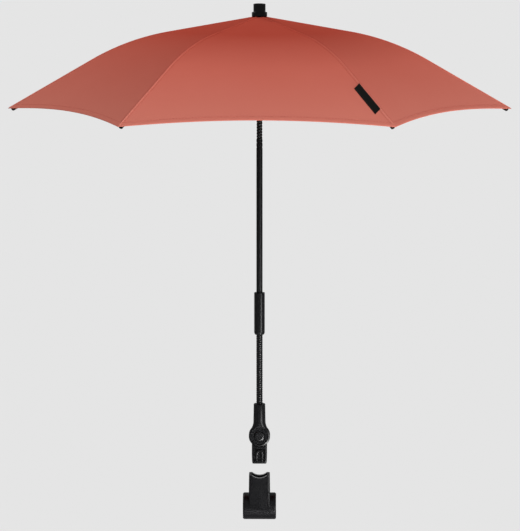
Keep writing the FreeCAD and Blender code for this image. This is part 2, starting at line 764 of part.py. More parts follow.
def side_rod(name, radius, length, run=0.0, fall=0.0):
    """A cylinder across a rib, centred on its plane."""
    made = doc.addObject("Part::Cylinder", name)
    bind(made, Radius=radius, Height=length)
    made.Placement = Placement(Vector(run, 0, -fall), AIMS["Y"])
    return bind(made, y=f"-({length}) / 2")


def rib_piece(index):
    """A bent rib with the eye that it hinges on and the boss that its stretcher is pinned to."""
    tag = f"rib_{index + 1}"
    root, tip = size("rib_root_slope"), size("rib_tip_slope")
    inner = rib_rod(f"{tag}_inner", "inner_length", root, 0, 0)
    bend = doc.addObject("Part::Torus", f"{tag}_bend")
    bind(bend, Radius1="bend_radius", Radius2="rib_radius", Angle3="rib_tip_slope - rib_root_slope")
    start = Rotation(Vector(0, 1, 0), root) * Vector(0, 0, 1)
    centre = Vector(size("rib_inner_run"), 0, -size("inner_fall")) - start * size("bend_radius")
    bend.Placement = Placement(centre, Rotation(start, Vector(), Vector(0, 1, 0), "ZXY"))
    outer = rib_rod(f"{tag}_outer", "outer_length", tip, size("bend_end_run"), size("bend_end_fall"))
    eye = side_rod(f"{tag}_eye", "eye_radius", "eye_thickness")
    boss = side_rod(f"{tag}_boss", "joint_boss", "rib_diameter", size("joint_run"), size("joint_fall"))
    whole = join(f"{tag}_whole", inner, bend, outer, eye, boss)
    hinge = side_rod(f"{tag}_hinge_hole", "eye_hole", "rib_diameter + 2 * overrun")
    pinned = side_rod(f"{tag}_pin_hole", "joint_pin_radius + fit", "rib_diameter + 2 * overrun",
                      size("joint_run"), size("joint_fall"))
    made = keep(cut(tag, whole, hinge, pinned))
    made.Placement = about_axis(index, size("hinge_radius"), size("hub_height"))


def tip_piece(index):
    """The cap on a rib's end, hung under the rib so that its top is level with the rib's."""
    tag = f"rib_tip_{index + 1}"
    sag = "(tip_diameter - rib_diameter) / 2"
    shell = doc.addObject("Part::Cylinder", f"{tag}_shell")
    bind(shell, Radius="tip_diameter / 2", Height="tip_grip + tip_end - tip_nose", x=sag, z="-tip_grip")
    nose = doc.addObject("Part::Cone", f"{tag}_nose")
    bind(nose, Radius1="tip_diameter / 2", Radius2="tip_diameter / 2 - tip_nose", Height="tip_nose", x=sag,
         z="tip_end - tip_nose")
    hole = doc.addObject("Part::Cylinder", f"{tag}_hole")
    bind(hole, Radius="rib_radius + fit", Height="tip_grip + overrun + fit", z="-tip_grip - overrun")
    made = keep(cut(tag, join(f"{tag}_whole", shell, nose), hole))
    slope = size("rib_tip_slope")
    end_run = size("bend_end_run") + size("rib_outer_run")
    end_fall = size("bend_end_fall") + size("rib_outer_run") * math.tan(math.radians(slope))
    at_rib = Placement(Vector(end_run, 0, -end_fall), Rotation(Vector(0, 1, 0), QUARTER_TURN + slope))
    made.Placement = about_axis(index, size("hinge_radius"), size("hub_height")).multiply(at_rib)


def stretcher_pieces(index):
    """A stretcher from its fork on the rib to its eye on the runner, and the pin through the fork."""
    tag = f"stretcher_{index + 1}"
    bar = doc.addObject("Part::Cylinder", f"{tag}_bar")
    bar.Placement = Placement(Vector(), AIMS["X"])
    bind(bar, Radius="stretcher_diameter / 2", Height="stretcher_length - fork_length + fork_bridge",
         x="fork_length - fork_bridge")
    eye = doc.addObject("Part::Cylinder", f"{tag}_eye")
    eye.Placement = Placement(Vector(), AIMS["Y"])
    bind(eye, Radius="eye_radius", Height="eye_thickness", x="stretcher_length", y="-eye_thickness / 2")
    pieces = [bar, eye]
    for side, edge in (("left", "-fork_outside"), ("right", "fork_inside")):
        cheek = doc.addObject("Part::Box", f"{tag}_{side}")
        bind(cheek, Length="fork_length + fork_height / 2", Width="fork_plate", Height="fork_height")
        pieces.append(bind(cheek, x="-fork_height / 2", y=edge, z="-fork_height / 2"))
    bridge = doc.addObject("Part::Box", f"{tag}_bridge")
    pieces.append(bind(bridge, Length="fork_bridge", Width="2 * fork_outside", Height="fork_height",
                       x="fork_length - fork_bridge", y="-fork_outside", z="-fork_height / 2"))
    hinge = doc.addObject("Part::Cylinder", f"{tag}_hinge_hole")
    hinge.Placement = Placement(Vector(), AIMS["Y"])
    bind(hinge, Radius="eye_hole", Height="2 * eye_thickness", x="stretcher_length", y="-eye_thickness")
    pinned = doc.addObject("Part::Cylinder", f"{tag}_pin_hole")
    pinned.Placement = Placement(Vector(), AIMS["Y"])
    bind(pinned, Radius="joint_pin_radius + fit", Height="4 * fork_outside", y="-2 * fork_outside")
    slope = math.degrees(math.atan2(size("stretcher_fall"), size("joint_run")))
    at_joint = Placement(Vector(size("joint_run"), 0, -size("joint_fall")),
                         Rotation(Vector(0, 1, 0), FULL_TURN / 2 - slope))
    place = about_axis(index, size("hinge_radius"), size("hub_height")).multiply(at_joint)
    keep(cut(tag, join(f"{tag}_whole", *pieces), hinge, pinned)).Placement = place
    pin = keep(doc.addObject("Part::Cylinder", f"joint_pin_{index + 1}"))
    bind(pin, Radius="joint_pin_radius", Height="2 * fork_outside")
    pin.Placement = place.multiply(Placement(Vector(0, -size("fork_outside"), 0), AIMS["Y"]))


def seam_edges(index, side, lift):
    """A gore's edge along one rib: two straight stretches and the bend, lifted clear of the rib."""
    root, tip = math.radians(size("rib_root_slope")), math.radians(size("rib_tip_slope"))
    hinge = size("hinge_radius")
    shift = side * size("seam_gap") / 2
    bend_radius = size("bend_radius") + lift
    centre_run = size("rib_inner_run") - size("bend_radius") * math.sin(root)
    centre_fall = size("inner_fall") + size("bend_radius") * math.cos(root)

    def on_bend(slope):
        return centre_run + bend_radius * math.sin(slope), bend_radius * math.cos(slope) - centre_fall

    start = on_bend(root)
    end = on_bend(tip)
    first = -hinge, start[1] + (start[0] + hinge) * math.tan(root)
    reach = size("rib_outer_run") + size("cloth_overhang")
    last = end[0] + reach, end[1] - reach * math.tan(tip)
    turn = about_axis(index, hinge, size("hub_height"))
    places = (first, start, on_bend((root + tip) / 2), end, last)
    spots = [turn.multVec(Vector(run, shift, rise)) for run, rise in places]
    return [Part.LineSegment(spots[0], spots[1]).toShape(), Part.Arc(*spots[1:4]).toShape(),
            Part.LineSegment(spots[3], spots[4]).toShape()]


def panel_piece(index):
    """One gore of the cover: stretched from rib to rib, with a hollow hem and a hole at the crown."""
    near = seam_edges(index, 1, size("cloth_rise"))
    far = seam_edges(index + 1, -1, size("cloth_rise"))
    thick = Vector(0, 0, size("cloth_height"))
    strips = [Part.makeRuledSurface(a, b).extrude(thick) for a, b in zip(near, far)]
    cloth = strips[0].fuse(strips[1:])
    corners = [edges[-1].Vertexes[-1].Point for edges in (near, far)]
    middle = (corners[0] + corners[1]) * 0.5
    axis = Vector(0, size("arm_y"), middle.z)
    outward = (middle - axis).normalize()
    half = (corners[1] - corners[0]).Length / 2
    hollow = size("hem_hollow")
    round_radius = (half ** 2 + hollow ** 2) / (2 * hollow)
    tall = size("hub_height") + size("overrun")
    centre = middle + outward * (round_radius - hollow)
    hem = Part.makeCylinder(round_radius, tall, Vector(centre.x, centre.y, 0))
    hole = Part.makeCylinder(size("pole_radius") + size("clearance"), tall * 2, Vector(0, size("arm_y"), 0))
    keep(solid(f"canopy_panel_{index + 1}", cloth.cut([hem, hole])))


def tag_piece():
    """The bare sewn tag that lies on a gore beside its seam."""
    edge = seam_edges(TAG_RIB, -1, size("cloth_rise"))[-1]
    start, end = edge.Vertexes[0].Point, edge.Vertexes[-1].Point
    along = (end - start).normalize()
    level = (Rotation(Vector(0, 0, 1), RIB_STEP * (TAG_RIB - 1)) * Vector(1, 0, 0)
             - Rotation(Vector(0, 0, 1), RIB_STEP * TAG_RIB) * Vector(1, 0, 0)).normalize()
    up = along.cross(level).normalize()
    up = up if up.z > 0 else up * -1
    inward = (level - along * level.dot(along)).normalize()
    lift = size("cloth_thickness") / math.cos(math.radians(size("rib_root_slope"))) + size("clearance")
    corner = start + along * size("tag_start") + inward * size("clearance") + up * lift
    length = along * size("tag_length")
    wide = inward * size("tag_width") + along * size("tag_slant")
    corners = [corner, corner + length, corner + length + wide, corner + wide, corner]
    sheet = Part.Face(Part.makePolygon(corners))
    keep(solid("label_tag", sheet.extrude(up * size("tag_thickness"))))


def build():
    """Make every sub-part, check it, and write it to its own file."""
    fill_sheets()
    clip_pieces()
    plug_piece()
    head_piece()
    button_pieces()
    neck_pieces()
    pole_pieces()
    shaft_pieces()
    crown_pieces()
    runner_pieces()
    for index in range(RIBS):
        rib_piece(index)
        tip_piece(index)
        stretcher_pieces(index)
        panel_piece(index)
    tag_piece()
    doc.recompute()
    failed = [thing.Name for thing in doc.Objects if {"Invalid", "Error"} & set(thing.State)]
    if failed:
        raise RuntimeError(f"failed: {failed}")
    for thing in subparts:
        if thing.Shape.isNull() or not thing.Shape.isValid() or not thing.Shape.Solids:
            raise RuntimeError(f"{thing.Label} has no valid solid")
    os.makedirs("parts", exist_ok=True)
    for thing in subparts:
        thing.Shape.exportStep(f"parts/{thing.Label}.step")
    print(len(subparts), "sub-parts")


build()
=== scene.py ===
"""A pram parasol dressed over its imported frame: cover, seams, goosenecks, mouldings and light."""

import json
from math import acos, cos, exp, pi, radians, sin, sqrt, tan, tau

import bmesh
import bpy
from mathutils import Matrix, Vector, noise


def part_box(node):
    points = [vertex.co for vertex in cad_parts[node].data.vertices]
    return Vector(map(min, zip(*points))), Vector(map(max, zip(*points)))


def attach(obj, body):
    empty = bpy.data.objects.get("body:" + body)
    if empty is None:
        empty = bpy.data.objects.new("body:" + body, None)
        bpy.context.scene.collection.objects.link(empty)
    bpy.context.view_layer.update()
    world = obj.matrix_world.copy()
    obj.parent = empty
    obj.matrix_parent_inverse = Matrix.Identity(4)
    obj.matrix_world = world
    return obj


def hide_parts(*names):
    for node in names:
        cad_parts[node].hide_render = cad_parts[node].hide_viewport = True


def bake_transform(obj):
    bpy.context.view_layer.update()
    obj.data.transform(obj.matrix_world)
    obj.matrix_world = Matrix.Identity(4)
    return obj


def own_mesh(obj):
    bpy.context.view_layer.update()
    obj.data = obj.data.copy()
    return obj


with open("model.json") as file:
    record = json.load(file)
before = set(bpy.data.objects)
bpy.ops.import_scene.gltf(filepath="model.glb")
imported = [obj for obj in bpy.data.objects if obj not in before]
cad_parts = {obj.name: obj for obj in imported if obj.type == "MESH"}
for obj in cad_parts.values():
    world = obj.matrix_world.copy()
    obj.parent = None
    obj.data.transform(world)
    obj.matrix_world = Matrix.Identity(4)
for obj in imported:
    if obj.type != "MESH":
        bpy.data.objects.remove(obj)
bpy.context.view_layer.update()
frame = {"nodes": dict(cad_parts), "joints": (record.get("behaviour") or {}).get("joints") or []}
joints = {joint["name"]: joint for joint in frame["joints"]}
nodes = frame["nodes"]

# Lengths are in metres and angles in radians.
MM = 0.001
RIBS = 6
RIB_STEP = tau / RIBS
HALF_STEP_COS = cos(RIB_STEP / 2)

# Places that the frame gives.
ARM_Y = joints["tilt"]["pos_m"][1]
DISC_Z = joints["tilt"]["pos_m"][2]
HUB_Z = joints["rib_1_hinge"]["pos_m"][2]
HINGE_RADIUS = joints["rib_1_hinge"]["pos_m"][0]
HEAD_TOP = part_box("arm_head")[1][2]
COLLAR_BOTTOM, COLLAR_TOP = (corner[2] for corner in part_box("collar"))
POLE_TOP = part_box("pole")[1][2]
SHAFT_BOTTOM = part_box("shaft")[0][2]
PIVOT = (0, ARM_Y, DISC_Z)

# The rib's curve, which the cover follows.
ROOT_SLOPE = radians(9.9)
TIP_SLOPE = radians(29.9)
INNER_RUN = 120 * MM
BEND_RUN = 110 * MM
CLOTH_RISE = 1.8 * MM
CORNER_RADIUS = 362 * MM
CROWN_RADIUS = 5.2 * MM
HEM_HOLLOW = 12 * MM
CLOTH_THICKNESS = 0.5 * MM
BEND_RADIUS = BEND_RUN / (sin(TIP_SLOPE) - sin(ROOT_SLOPE))
BEND_CENTRE_RUN = INNER_RUN - BEND_RADIUS * sin(ROOT_SLOPE)
BEND_CENTRE_RISE = -INNER_RUN * tan(ROOT_SLOPE) - BEND_RADIUS * cos(ROOT_SLOPE)


def linear(*levels):
    """A colour as a shader takes it, from red, green and blue in a picture, 0 to 255, by the sRGB curve."""
    shares = [level / 255 for level in levels]
    return (*(s / 12.92 if s <= 0.04045 else ((s + 0.055) / 1.055) ** 2.4 for s in shares), 1.0)


class Nodes:
    """A node tree and short ways to add to it."""

    def __init__(self, tree):
        self.tree = tree

    def add(self, kind, **values):
        node = self.tree.nodes.new(kind)
        for name, value in values.items():
            if hasattr(node, name):
                setattr(node, name, value)
            else:
                node.inputs[name.replace("_", " ")].default_value = value
        return node

    def link(self, source, target):
        self.tree.links.new(source, target)

    def maths(self, operation, first, second):
        node = self.add("ShaderNodeMath", operation=operation)
        for socket, value in zip(node.inputs, (first, second)):
            if isinstance(value, (int, float)):
                socket.default_value = value
            else:
                self.link(value, socket)
        return node.outputs[0]

    def mixed(self, share, first, second):
        node = self.add("ShaderNodeMixShader")
        for socket, value in zip(node.inputs, (share, first, second)):
            self.link(value, socket)
        return node.outputs["Shader"]

    def seen(self):
        """One for what the camera sees, also in gloss or through glass, and nought for other light."""
        path = self.add("ShaderNodeLightPath").outputs
        direct = self.maths("MAXIMUM", path["Is Camera Ray"], path["Is Glossy Ray"])
        return self.maths("MAXIMUM", direct, path["Is Transmission Ray"])


class Shader(Nodes):
    """A material with a Principled BSDF."""

    def __init__(self, name, **values):
        self.material = bpy.data.materials.new(name)
        self.material.use_nodes = True
        super().__init__(self.material.node_tree)
        self.surface = self.tree.nodes["Principled BSDF"]
        for socket, value in values.items():
            self.surface.inputs[socket.replace("_", " ")].default_value = value

    def place(self, uv=""):
        """Object coordinates, or a UV map's, in metres."""
        if uv:
            return self.add("ShaderNodeUVMap", uv_map=uv).outputs["UV"]
        return self.add("ShaderNodeTexCoord").outputs["Object"]

    def noise(self, scale, where, detail):
        node = self.add("ShaderNodeTexNoise", Scale=scale, Detail=detail)
        self.link(where, node.inputs["Vector"])
        return node.outputs["Fac"]

    def stripes(self, scale, where, direction):
        node = self.add("ShaderNodeTexWave", bands_direction=direction, Scale=scale)
        self.link(where, node.inputs["Vector"])
        return node.outputs["Fac"]

    def facing(self):
        """Nought where the surface faces the viewer, one where it is seen edge on."""
        return self.add("ShaderNodeLayerWeight", Blend=0.5).outputs["Facing"]

    def spread(self, value, low, high, start=0.3, end=0.7):
        """A value between start and end turned into a range of numbers."""
        node = self.add("ShaderNodeMapRange", From_Min=start, From_Max=end, To_Min=low, To_Max=high)
        self.link(value, node.inputs["Value"])
        return node.outputs["Result"]

    def shades(self, value, first, last, start=0.3, end=0.7):
        """A value between start and end turned into a colour between two."""
        node = self.add("ShaderNodeValToRGB")
        for stop, colour, position in zip(node.color_ramp.elements, (first, last), (start, end)):
            stop.color = colour
            stop.position = position
        self.link(value, node.inputs["Fac"])
        return node.outputs["Color"]

    def gloss(self, level, edge_on=0.0):
        """The reflection face on and at the outline; nought there keeps a round black piece black."""
        fall = self.spread(self.facing(), level, edge_on, GLOSS_FALLS_FROM, GLOSS_FALLS_TO)
        self.surface.inputs["Specular IOR Level"].default_value = level
        self.link(fall, self.surface.inputs["Specular IOR Level"])

    def bump(self, height, distance, strength):
        node = self.add("ShaderNodeBump", Strength=strength, Distance=distance)
        self.link(height, node.inputs["Height"])
        self.link(node.outputs["Normal"], self.surface.inputs["Normal"])


# Where a reflection starts and stops changing between facing the viewer and edge on.
GLOSS_FALLS_FROM = 0.2
GLOSS_FALLS_TO = 0.85

# How deep the cloth's painted shade is by the crown and by the hem, and the distances from the axis over
# which it gives way to painted light towards the hem.
PAINTED_SHADE_AT_CROWN = 0.9
PAINTED_SHADE_AT_HEM = 0.18
PAINTED_LIGHT_FROM = 0.12
PAINTED_LIGHT_TO = 0.36

# How fine the thick threads and the faded patches in the cloth are, and how much they change its tone at
# random.
SLUB_SCALE = 420.0
SLUB_SHARE = 0.03
FADE_SCALE = 9.0
FADE_SHARE = 0.09

# Marks on mouldings, orange peel and rubbed streaks on metal, and what they do to the roughness.
MARK_SCALE = 70.0
MARK_PLAY = 0.03
PEEL_SCALE = 500.0
STREAK_SCALE = 45.0
RUBBED = 0.05
DULLED = 0.07


def woven(name, pale, deep, threads=900.0, roughness=0.8):
    """Plain-woven cloth: threads each way, tone that differs at random, and painted light and shade by
    distance from the axis, paler towards the hem and deeper by the crown.
    """
    shader = Shader(name, Roughness=roughness)
    shader.surface.inputs["Specular IOR Level"].default_value = 0.0
    cloth = shader.place("cloth")
    warp = shader.stripes(threads, cloth, "X")
    weft = shader.stripes(threads, cloth, "Y")
    weave = shader.maths("MAXIMUM", warp, weft)
    slub = shader.noise(SLUB_SCALE, cloth, detail=3.0)
    fade = shader.noise(FADE_SCALE, cloth, detail=4.0)
    mottle = shader.maths("ADD", shader.maths("MULTIPLY", fade, FADE_SHARE),
                          shader.maths("MULTIPLY", slub, SLUB_SHARE))
    along = shader.add("ShaderNodeSeparateXYZ")
    shader.link(cloth, along.inputs["Vector"])
    # Painted light and shade: from the deep colour by the crown to the pale colour by the hem, in place of
    # the light that falls on the steeper hem.
    painted_shading = shader.spread(along.outputs["Y"], PAINTED_SHADE_AT_CROWN, PAINTED_SHADE_AT_HEM, PAINTED_LIGHT_FROM, PAINTED_LIGHT_TO)
    shade = shader.maths("ADD", painted_shading, mottle)
    shader.link(shader.shades(shade, pale, deep, 0.0, 1.0), shader.surface.inputs["Base Color"])
    shader.bump(shader.maths("ADD", weave, slub), distance=0.06 * MM, strength=0.5)
    return shader.material


def moulded(name, dark, light, roughness, shine, grain=1100.0, edge_on=0.0):
    """Moulded plastic or rubber with a fine spark-eroded grain and faint handling marks."""
    shader = Shader(name)
    shader.gloss(shine, edge_on)
    where = shader.place()
    fine = shader.noise(grain, where, detail=3.0)
    marks = shader.noise(MARK_SCALE, where, detail=3.0)
    shader.link(shader.shades(marks, dark, light), shader.surface.inputs["Base Color"])
    uneven = shader.spread(marks, roughness - MARK_PLAY, roughness + MARK_PLAY)
    shader.link(uneven, shader.surface.inputs["Roughness"])
    shader.bump(fine, distance=0.05 * MM, strength=0.15)
    return shader.material


def lacquered(name, dark, light, roughness, shine, metallic=0.0):
    """Lacquered or bare metal with a faint orange peel and rubbed streaks."""
    shader = Shader(name, Metallic=metallic)
    shader.gloss(shine)
    where = shader.place()
    peel = shader.noise(PEEL_SCALE, where, detail=1.0)
    streaks = shader.noise(STREAK_SCALE, where, detail=5.0)
    shader.link(shader.shades(streaks, dark, light), shader.surface.inputs["Base Color"])
    uneven = shader.spread(streaks, roughness - RUBBED, roughness + DULLED)
    shader.link(uneven, shader.surface.inputs["Roughness"])
    shader.bump(peel, distance=0.02 * MM, strength=0.3)
    return shader.material


# The cover's pale colour is its lit, sheen-washed look and its deep colour its shaded look: painted light and
# shade, which woven blends by the distance from the axis.
CORAL = woven("canopy_fabric", linear(204, 125, 110), linear(180, 72, 57))
# The seam's colours are a little lighter than the cover's: a painted highlight where the raised seam catches
# the light.
CORAL_SEAM_HIGHLIGHT = woven("seam_fabric_painted_highlight", linear(209, 132, 117), linear(181, 75, 60))
CORAL_THREAD = woven("seam_thread", linear(189, 108, 94), linear(172, 67, 53))
TAG = woven("tag_fabric", linear(30, 30, 29), linear(25, 25, 24), threads=700.0)
TAG_THREAD = woven("tag_thread", linear(50, 50, 48), linear(45, 45, 43), roughness=0.7)
PLASTIC = moulded("black_plastic", linear(4, 4, 5), linear(7, 7, 8), roughness=0.3, shine=0.085)
LIP = moulded("lip_plastic", linear(4, 4, 5), linear(7, 7, 8), roughness=0.3, shine=0.085, edge_on=0.6)
BUTTON = moulded("button_plastic", linear(9, 9, 10), linear(14, 14, 15), roughness=0.26, shine=0.12)
RUBBER = moulded("grip_rubber", linear(15, 15, 15), linear(22, 22, 22), roughness=0.8, shine=0.15,
                 grain=600.0)
BLACK_METAL = lacquered("black_metal", linear(5, 5, 6), linear(9, 9, 10), roughness=0.42, shine=0.06)
NECK_METAL = lacquered("neck_metal", linear(3, 3, 4), linear(6, 6, 7), roughness=0.25, shine=0.12)
RIB_METAL = lacquered("rib_metal", linear(14, 14, 15), linear(22, 22, 23), roughness=0.32, shine=0.25)
STEEL = lacquered("bare_steel", linear(150, 152, 155), linear(186, 188, 190), roughness=0.3, shine=0.5,
                  metallic=1.0)


def piece(name, points, faces, material, smooth=True):
    """A new mesh object from points and faces."""
    mesh = bpy.data.meshes.new(name)
    mesh.from_pydata([tuple(point) for point in points], [], faces)
    mesh.validate()
    solid = bmesh.new()
    solid.from_mesh(mesh)
    bmesh.ops.recalc_face_normals(solid, faces=solid.faces)
    solid.to_mesh(mesh)
    solid.free()
    mesh.materials.append(material)
    if smooth:
        mesh.shade_smooth()
    made = bpy.data.objects.new(name, mesh)
    bpy.context.scene.collection.objects.link(made)
    return made


def keep_edges(made, angle=35):
    """Shades a piece smooth, but for edges sharper than an angle in degrees."""
    made.data.set_sharp_from_angle(angle=radians(angle))
    return made


def lofted(name, rings, material=PLASTIC, closed_ends=True):
    """A tube through rings of points that all have the same count."""
    count = len(rings[0])
    points = [point for ring in rings for point in ring]
    faces = []
    for row in range(len(rings) - 1):
        low, high = row * count, (row + 1) * count
        for i in range(count):
            after = (i + 1) % count
            faces.append((low + i, low + after, high + after, high + i))
    if closed_ends:
        faces.append(tuple(range(count)))
        faces.append(tuple(range((len(rings) - 1) * count, len(rings) * count)))
    return piece(name, points, faces, material)


# The most of an edge that the rounding of one corner may take up.
CORNER_SHARE = 0.49


def round_corner(corner, before, after, radius, steps=5):
    """The points of an arc that rounds a profile's corner."""
    corner, before, after = Vector(corner), Vector(before), Vector(after)
    back = (before - corner).normalized()
    on = (after - corner).normalized()
    half = acos(max(-1.0, min(1.0, back.dot(on)))) / 2
    room = min((before - corner).length, (after - corner).length) * CORNER_SHARE
    reach = min(radius / tan(half), room)
    start, end = corner + back * reach, corner + on * reach
    spots = []
    for i in range(steps + 1):
        share = i / steps
        spots.append(start * (1 - share) ** 2 + corner * 2 * share * (1 - share) + end * share ** 2)
    return spots


# Ways to turn a lathe's axis, the distance for welding, and the rounding of an edge that is left sharp.
WELD = 0.01 * MM
SHARP = 0.01 * MM
LATHE_TURNS = {
    "X": Matrix.Rotation(pi / 2, 3, "Y"),
    "-Y": Matrix.Rotation(pi / 2, 3, "X"),
    "Z": Matrix.Identity(3),
}


def lathe(name, profile, material, axis="Z", centre=(0, 0, 0), rounding=0.4 * MM, segments=72):
    """A turned piece from corners given as radius and height, each corner rounded a little."""
    spots = []
    last = len(profile) - 1
    for i, corner in enumerate(profile):
        if i in (0, last) or corner[0] == 0:
            spots.append(Vector(corner))
        else:
            spots += round_corner(corner, profile[i - 1], profile[i + 1], rounding)
    turn = LATHE_TURNS[axis]
    rings = []
    for radius, height in spots:
        ring = [Vector((radius * cos(a), radius * sin(a), height))
                for a in (tau * i / segments for i in range(segments))]
        rings.append([turn @ spot + Vector(centre) for spot in ring])
    made = lofted(name, rings, material, closed_ends=False)
    solid = bmesh.new()
    solid.from_mesh(made.data)
    bmesh.ops.remove_doubles(solid, verts=solid.verts, dist=WELD)
    bmesh.ops.holes_fill(solid, edges=[edge for edge in solid.edges if edge.is_boundary], sides=segments + 1)
    bmesh.ops.recalc_face_normals(solid, faces=solid.faces)
    solid.to_mesh(made.data)
    solid.free()
    return keep_edges(made)


def rod(name, radius, low, high, axis="-Y", centre=PIVOT, segments=96, rounding=SHARP, material=PLASTIC):
    """A straight round rod between two heights, mostly to cut with."""
    profile = [(0, low), (radius, low), (radius, high), (0, high)]
    return lathe(name, profile, material, axis, centre, rounding, segments)


def settled(made):
    """The piece with its modifiers applied."""
    view = bpy.context.evaluated_depsgraph_get()
    mesh = bpy.data.meshes.new_from_object(made.evaluated_get(view))
    made.modifiers.clear()
    made.data = mesh
    return made


def combined(made, others, operation):
    """The piece after others are joined to it or taken away from it."""
    for other in others:
        step = made.modifiers.new("step", "BOOLEAN")
        step.operation = operation
        step.solver = "EXACT"
        step.material_mode = "TRANSFER"
        step.object = other
    settled(made)
    for other in others:
        bpy.data.objects.remove(other)
    return keep_edges(made)


def less(made, *cutters):
    """The piece with cutters taken away from it."""
    return combined(made, cutters, "DIFFERENCE")


def plus(made, *others):
    """The piece joined with others into one skin."""
    return combined(made, others, "UNION")


def finish(made, body, slot, *stands_for):
    """Puts a piece on its body and hides the nodes that it stands for; slot, a finish's name, is not used."""
    if stands_for:
        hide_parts(*stands_for)
    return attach(made, body)


# The camera, as the photograph was taken.

CAMERA_DISTANCE = 3.310
CAMERA_HEIGHT = 0.84365
CAMERA_PITCH = radians(8.3)
CAMERA_LENS = 155.8
CAMERA_SENSOR = 36
CAMERA_TURN = radians(0.68)
CAMERA_SHIFT = 0.001


def add_camera():
    """The camera, a little higher than the cover and right of the middle, looking slightly down."""
    data = bpy.data.cameras.new("camera")
    data.lens = CAMERA_LENS
    data.sensor_width = CAMERA_SENSOR
    data.shift_x = CAMERA_SHIFT
    camera = bpy.data.objects.new("camera", data)
    away = CAMERA_DISTANCE * sin(CAMERA_TURN), ARM_Y - CAMERA_DISTANCE * cos(CAMERA_TURN)
    camera.location = (*away, CAMERA_HEIGHT)
    camera.rotation_euler = (pi / 2 - CAMERA_PITCH, 0, CAMERA_TURN)
    bpy.context.scene.collection.objects.link(camera)
    bpy.context.scene.camera = camera


# The cover.

CLOTH_ROWS = 112
CLOTH_COLUMNS = 14
CLOTH_SAG = 2.2 * MM
CLOTH_CREASE = radians(50)
BESIDE_RIB = 1e-6
PUCKER_HEIGHT = 0.08 * MM
PUCKER_PITCH = 15 * MM
PUCKER_REACH = 16 * MM
PUCKER_DRIFT = 0.45
RIB_SEED = 3.7
LEFT_SEED = 2.0
RIGHT_SEED = 5.0
HEM_WIDTH = 9 * MM
SEAM_HALF = 1.5 * MM
SEAM_RISE = 0.6 * MM
SEAM_SUNK = 0.25 * MM
SEAM_NARROWS = 0.3
STITCH_LENGTH = 3.0 * MM
STITCH_PITCH = 4.2 * MM
STITCH_RADIUS = 0.28 * MM
STITCH_START = 0.15
SEAM_STITCH_BESIDE = 3.1 * MM
HEM_STITCH_INSIDE = 1.8 * MM
HEM_STITCH_LIFT = 0.58 * MM


def cloth_rise(radius):
    """The height of the cover's underside above the hinges, at a distance from the axis along a rib."""
    run = radius - HINGE_RADIUS
    curve = BEND_RADIUS + CLOTH_RISE
    start = BEND_CENTRE_RUN + curve * sin(ROOT_SLOPE)
    end = BEND_CENTRE_RUN + curve * sin(TIP_SLOPE)
    if run <= start:
        return BEND_CENTRE_RISE + curve * cos(ROOT_SLOPE) + (start - run) * tan(ROOT_SLOPE)
    if run <= end:
        return BEND_CENTRE_RISE + sqrt(curve ** 2 - (run - BEND_CENTRE_RUN) ** 2)
    return BEND_CENTRE_RISE + curve * cos(TIP_SLOPE) - (run - end) * tan(TIP_SLOPE)


def on_rib(index, radius):
    """A point of the cover over one rib's line."""
    angle = RIB_STEP * index
    return Vector((radius * cos(angle), ARM_Y + radius * sin(angle), HUB_Z + cloth_rise(radius)))


def hem_radius(share):
    """How far out the hollow hem lies at a share of the way from one rib to the next."""
    return CORNER_RADIUS - HEM_HOLLOW * 4 * share * (1 - share) / HALF_STEP_COS


def ruled(index, radius, across):
    """A point on the straight line from a rib to the next, at a share of the way across, to either side."""
    near = on_rib(index, radius)
    far = on_rib(index + (1 if across >= 0 else -1), radius)
    return near.lerp(far, abs(across))


def cloth_normal(index, radius, across):
    """The cover's outward direction at a point."""
    step = 0.5 * MM
    outward = ruled(index, radius + step, across) - ruled(index, radius - step, across)
    sideways = on_rib(index + (1 if across >= 0 else -1), radius) - on_rib(index, radius)
    normal = outward.cross(sideways).normalized()
    return normal if normal.z > 0 else -normal


def cloth_point(index, radius, across, lift=0.0):
    """A point on the cover: stretched from rib to rib, a little slack in the middle, puckered by the seam."""
    share = abs(across)
    slack = 4 * share * (1 - share) * sin(pi * min(1.0, radius / CORNER_RADIUS))
    from_seam = share * radius
    seed = LEFT_SEED if across > 0 else RIGHT_SEED
    drift = noise.noise(Vector((index * RIB_SEED, radius / PUCKER_PITCH * PUCKER_DRIFT, seed)))
    wave = sin(tau * (radius / PUCKER_PITCH + drift))
    reach = (from_seam / PUCKER_REACH) * exp(1 - from_seam / PUCKER_REACH) * (1 - 2 * share) ** 2
    pucker = PUCKER_HEIGHT * wave * reach
    height = lift + pucker - CLOTH_SAG * slack
    return ruled(index, radius, across) + cloth_normal(index, radius, across or BESIDE_RIB) * height


def cloth_uv(made, spots):
    """Lays a UV map in metres over a piece of cloth, so that the weave runs along and across it."""
    layer = made.data.uv_layers.new(name="cloth")
    for loop in made.data.loops:
        layer.data[loop.index].uv = spots[loop.vertex_index]


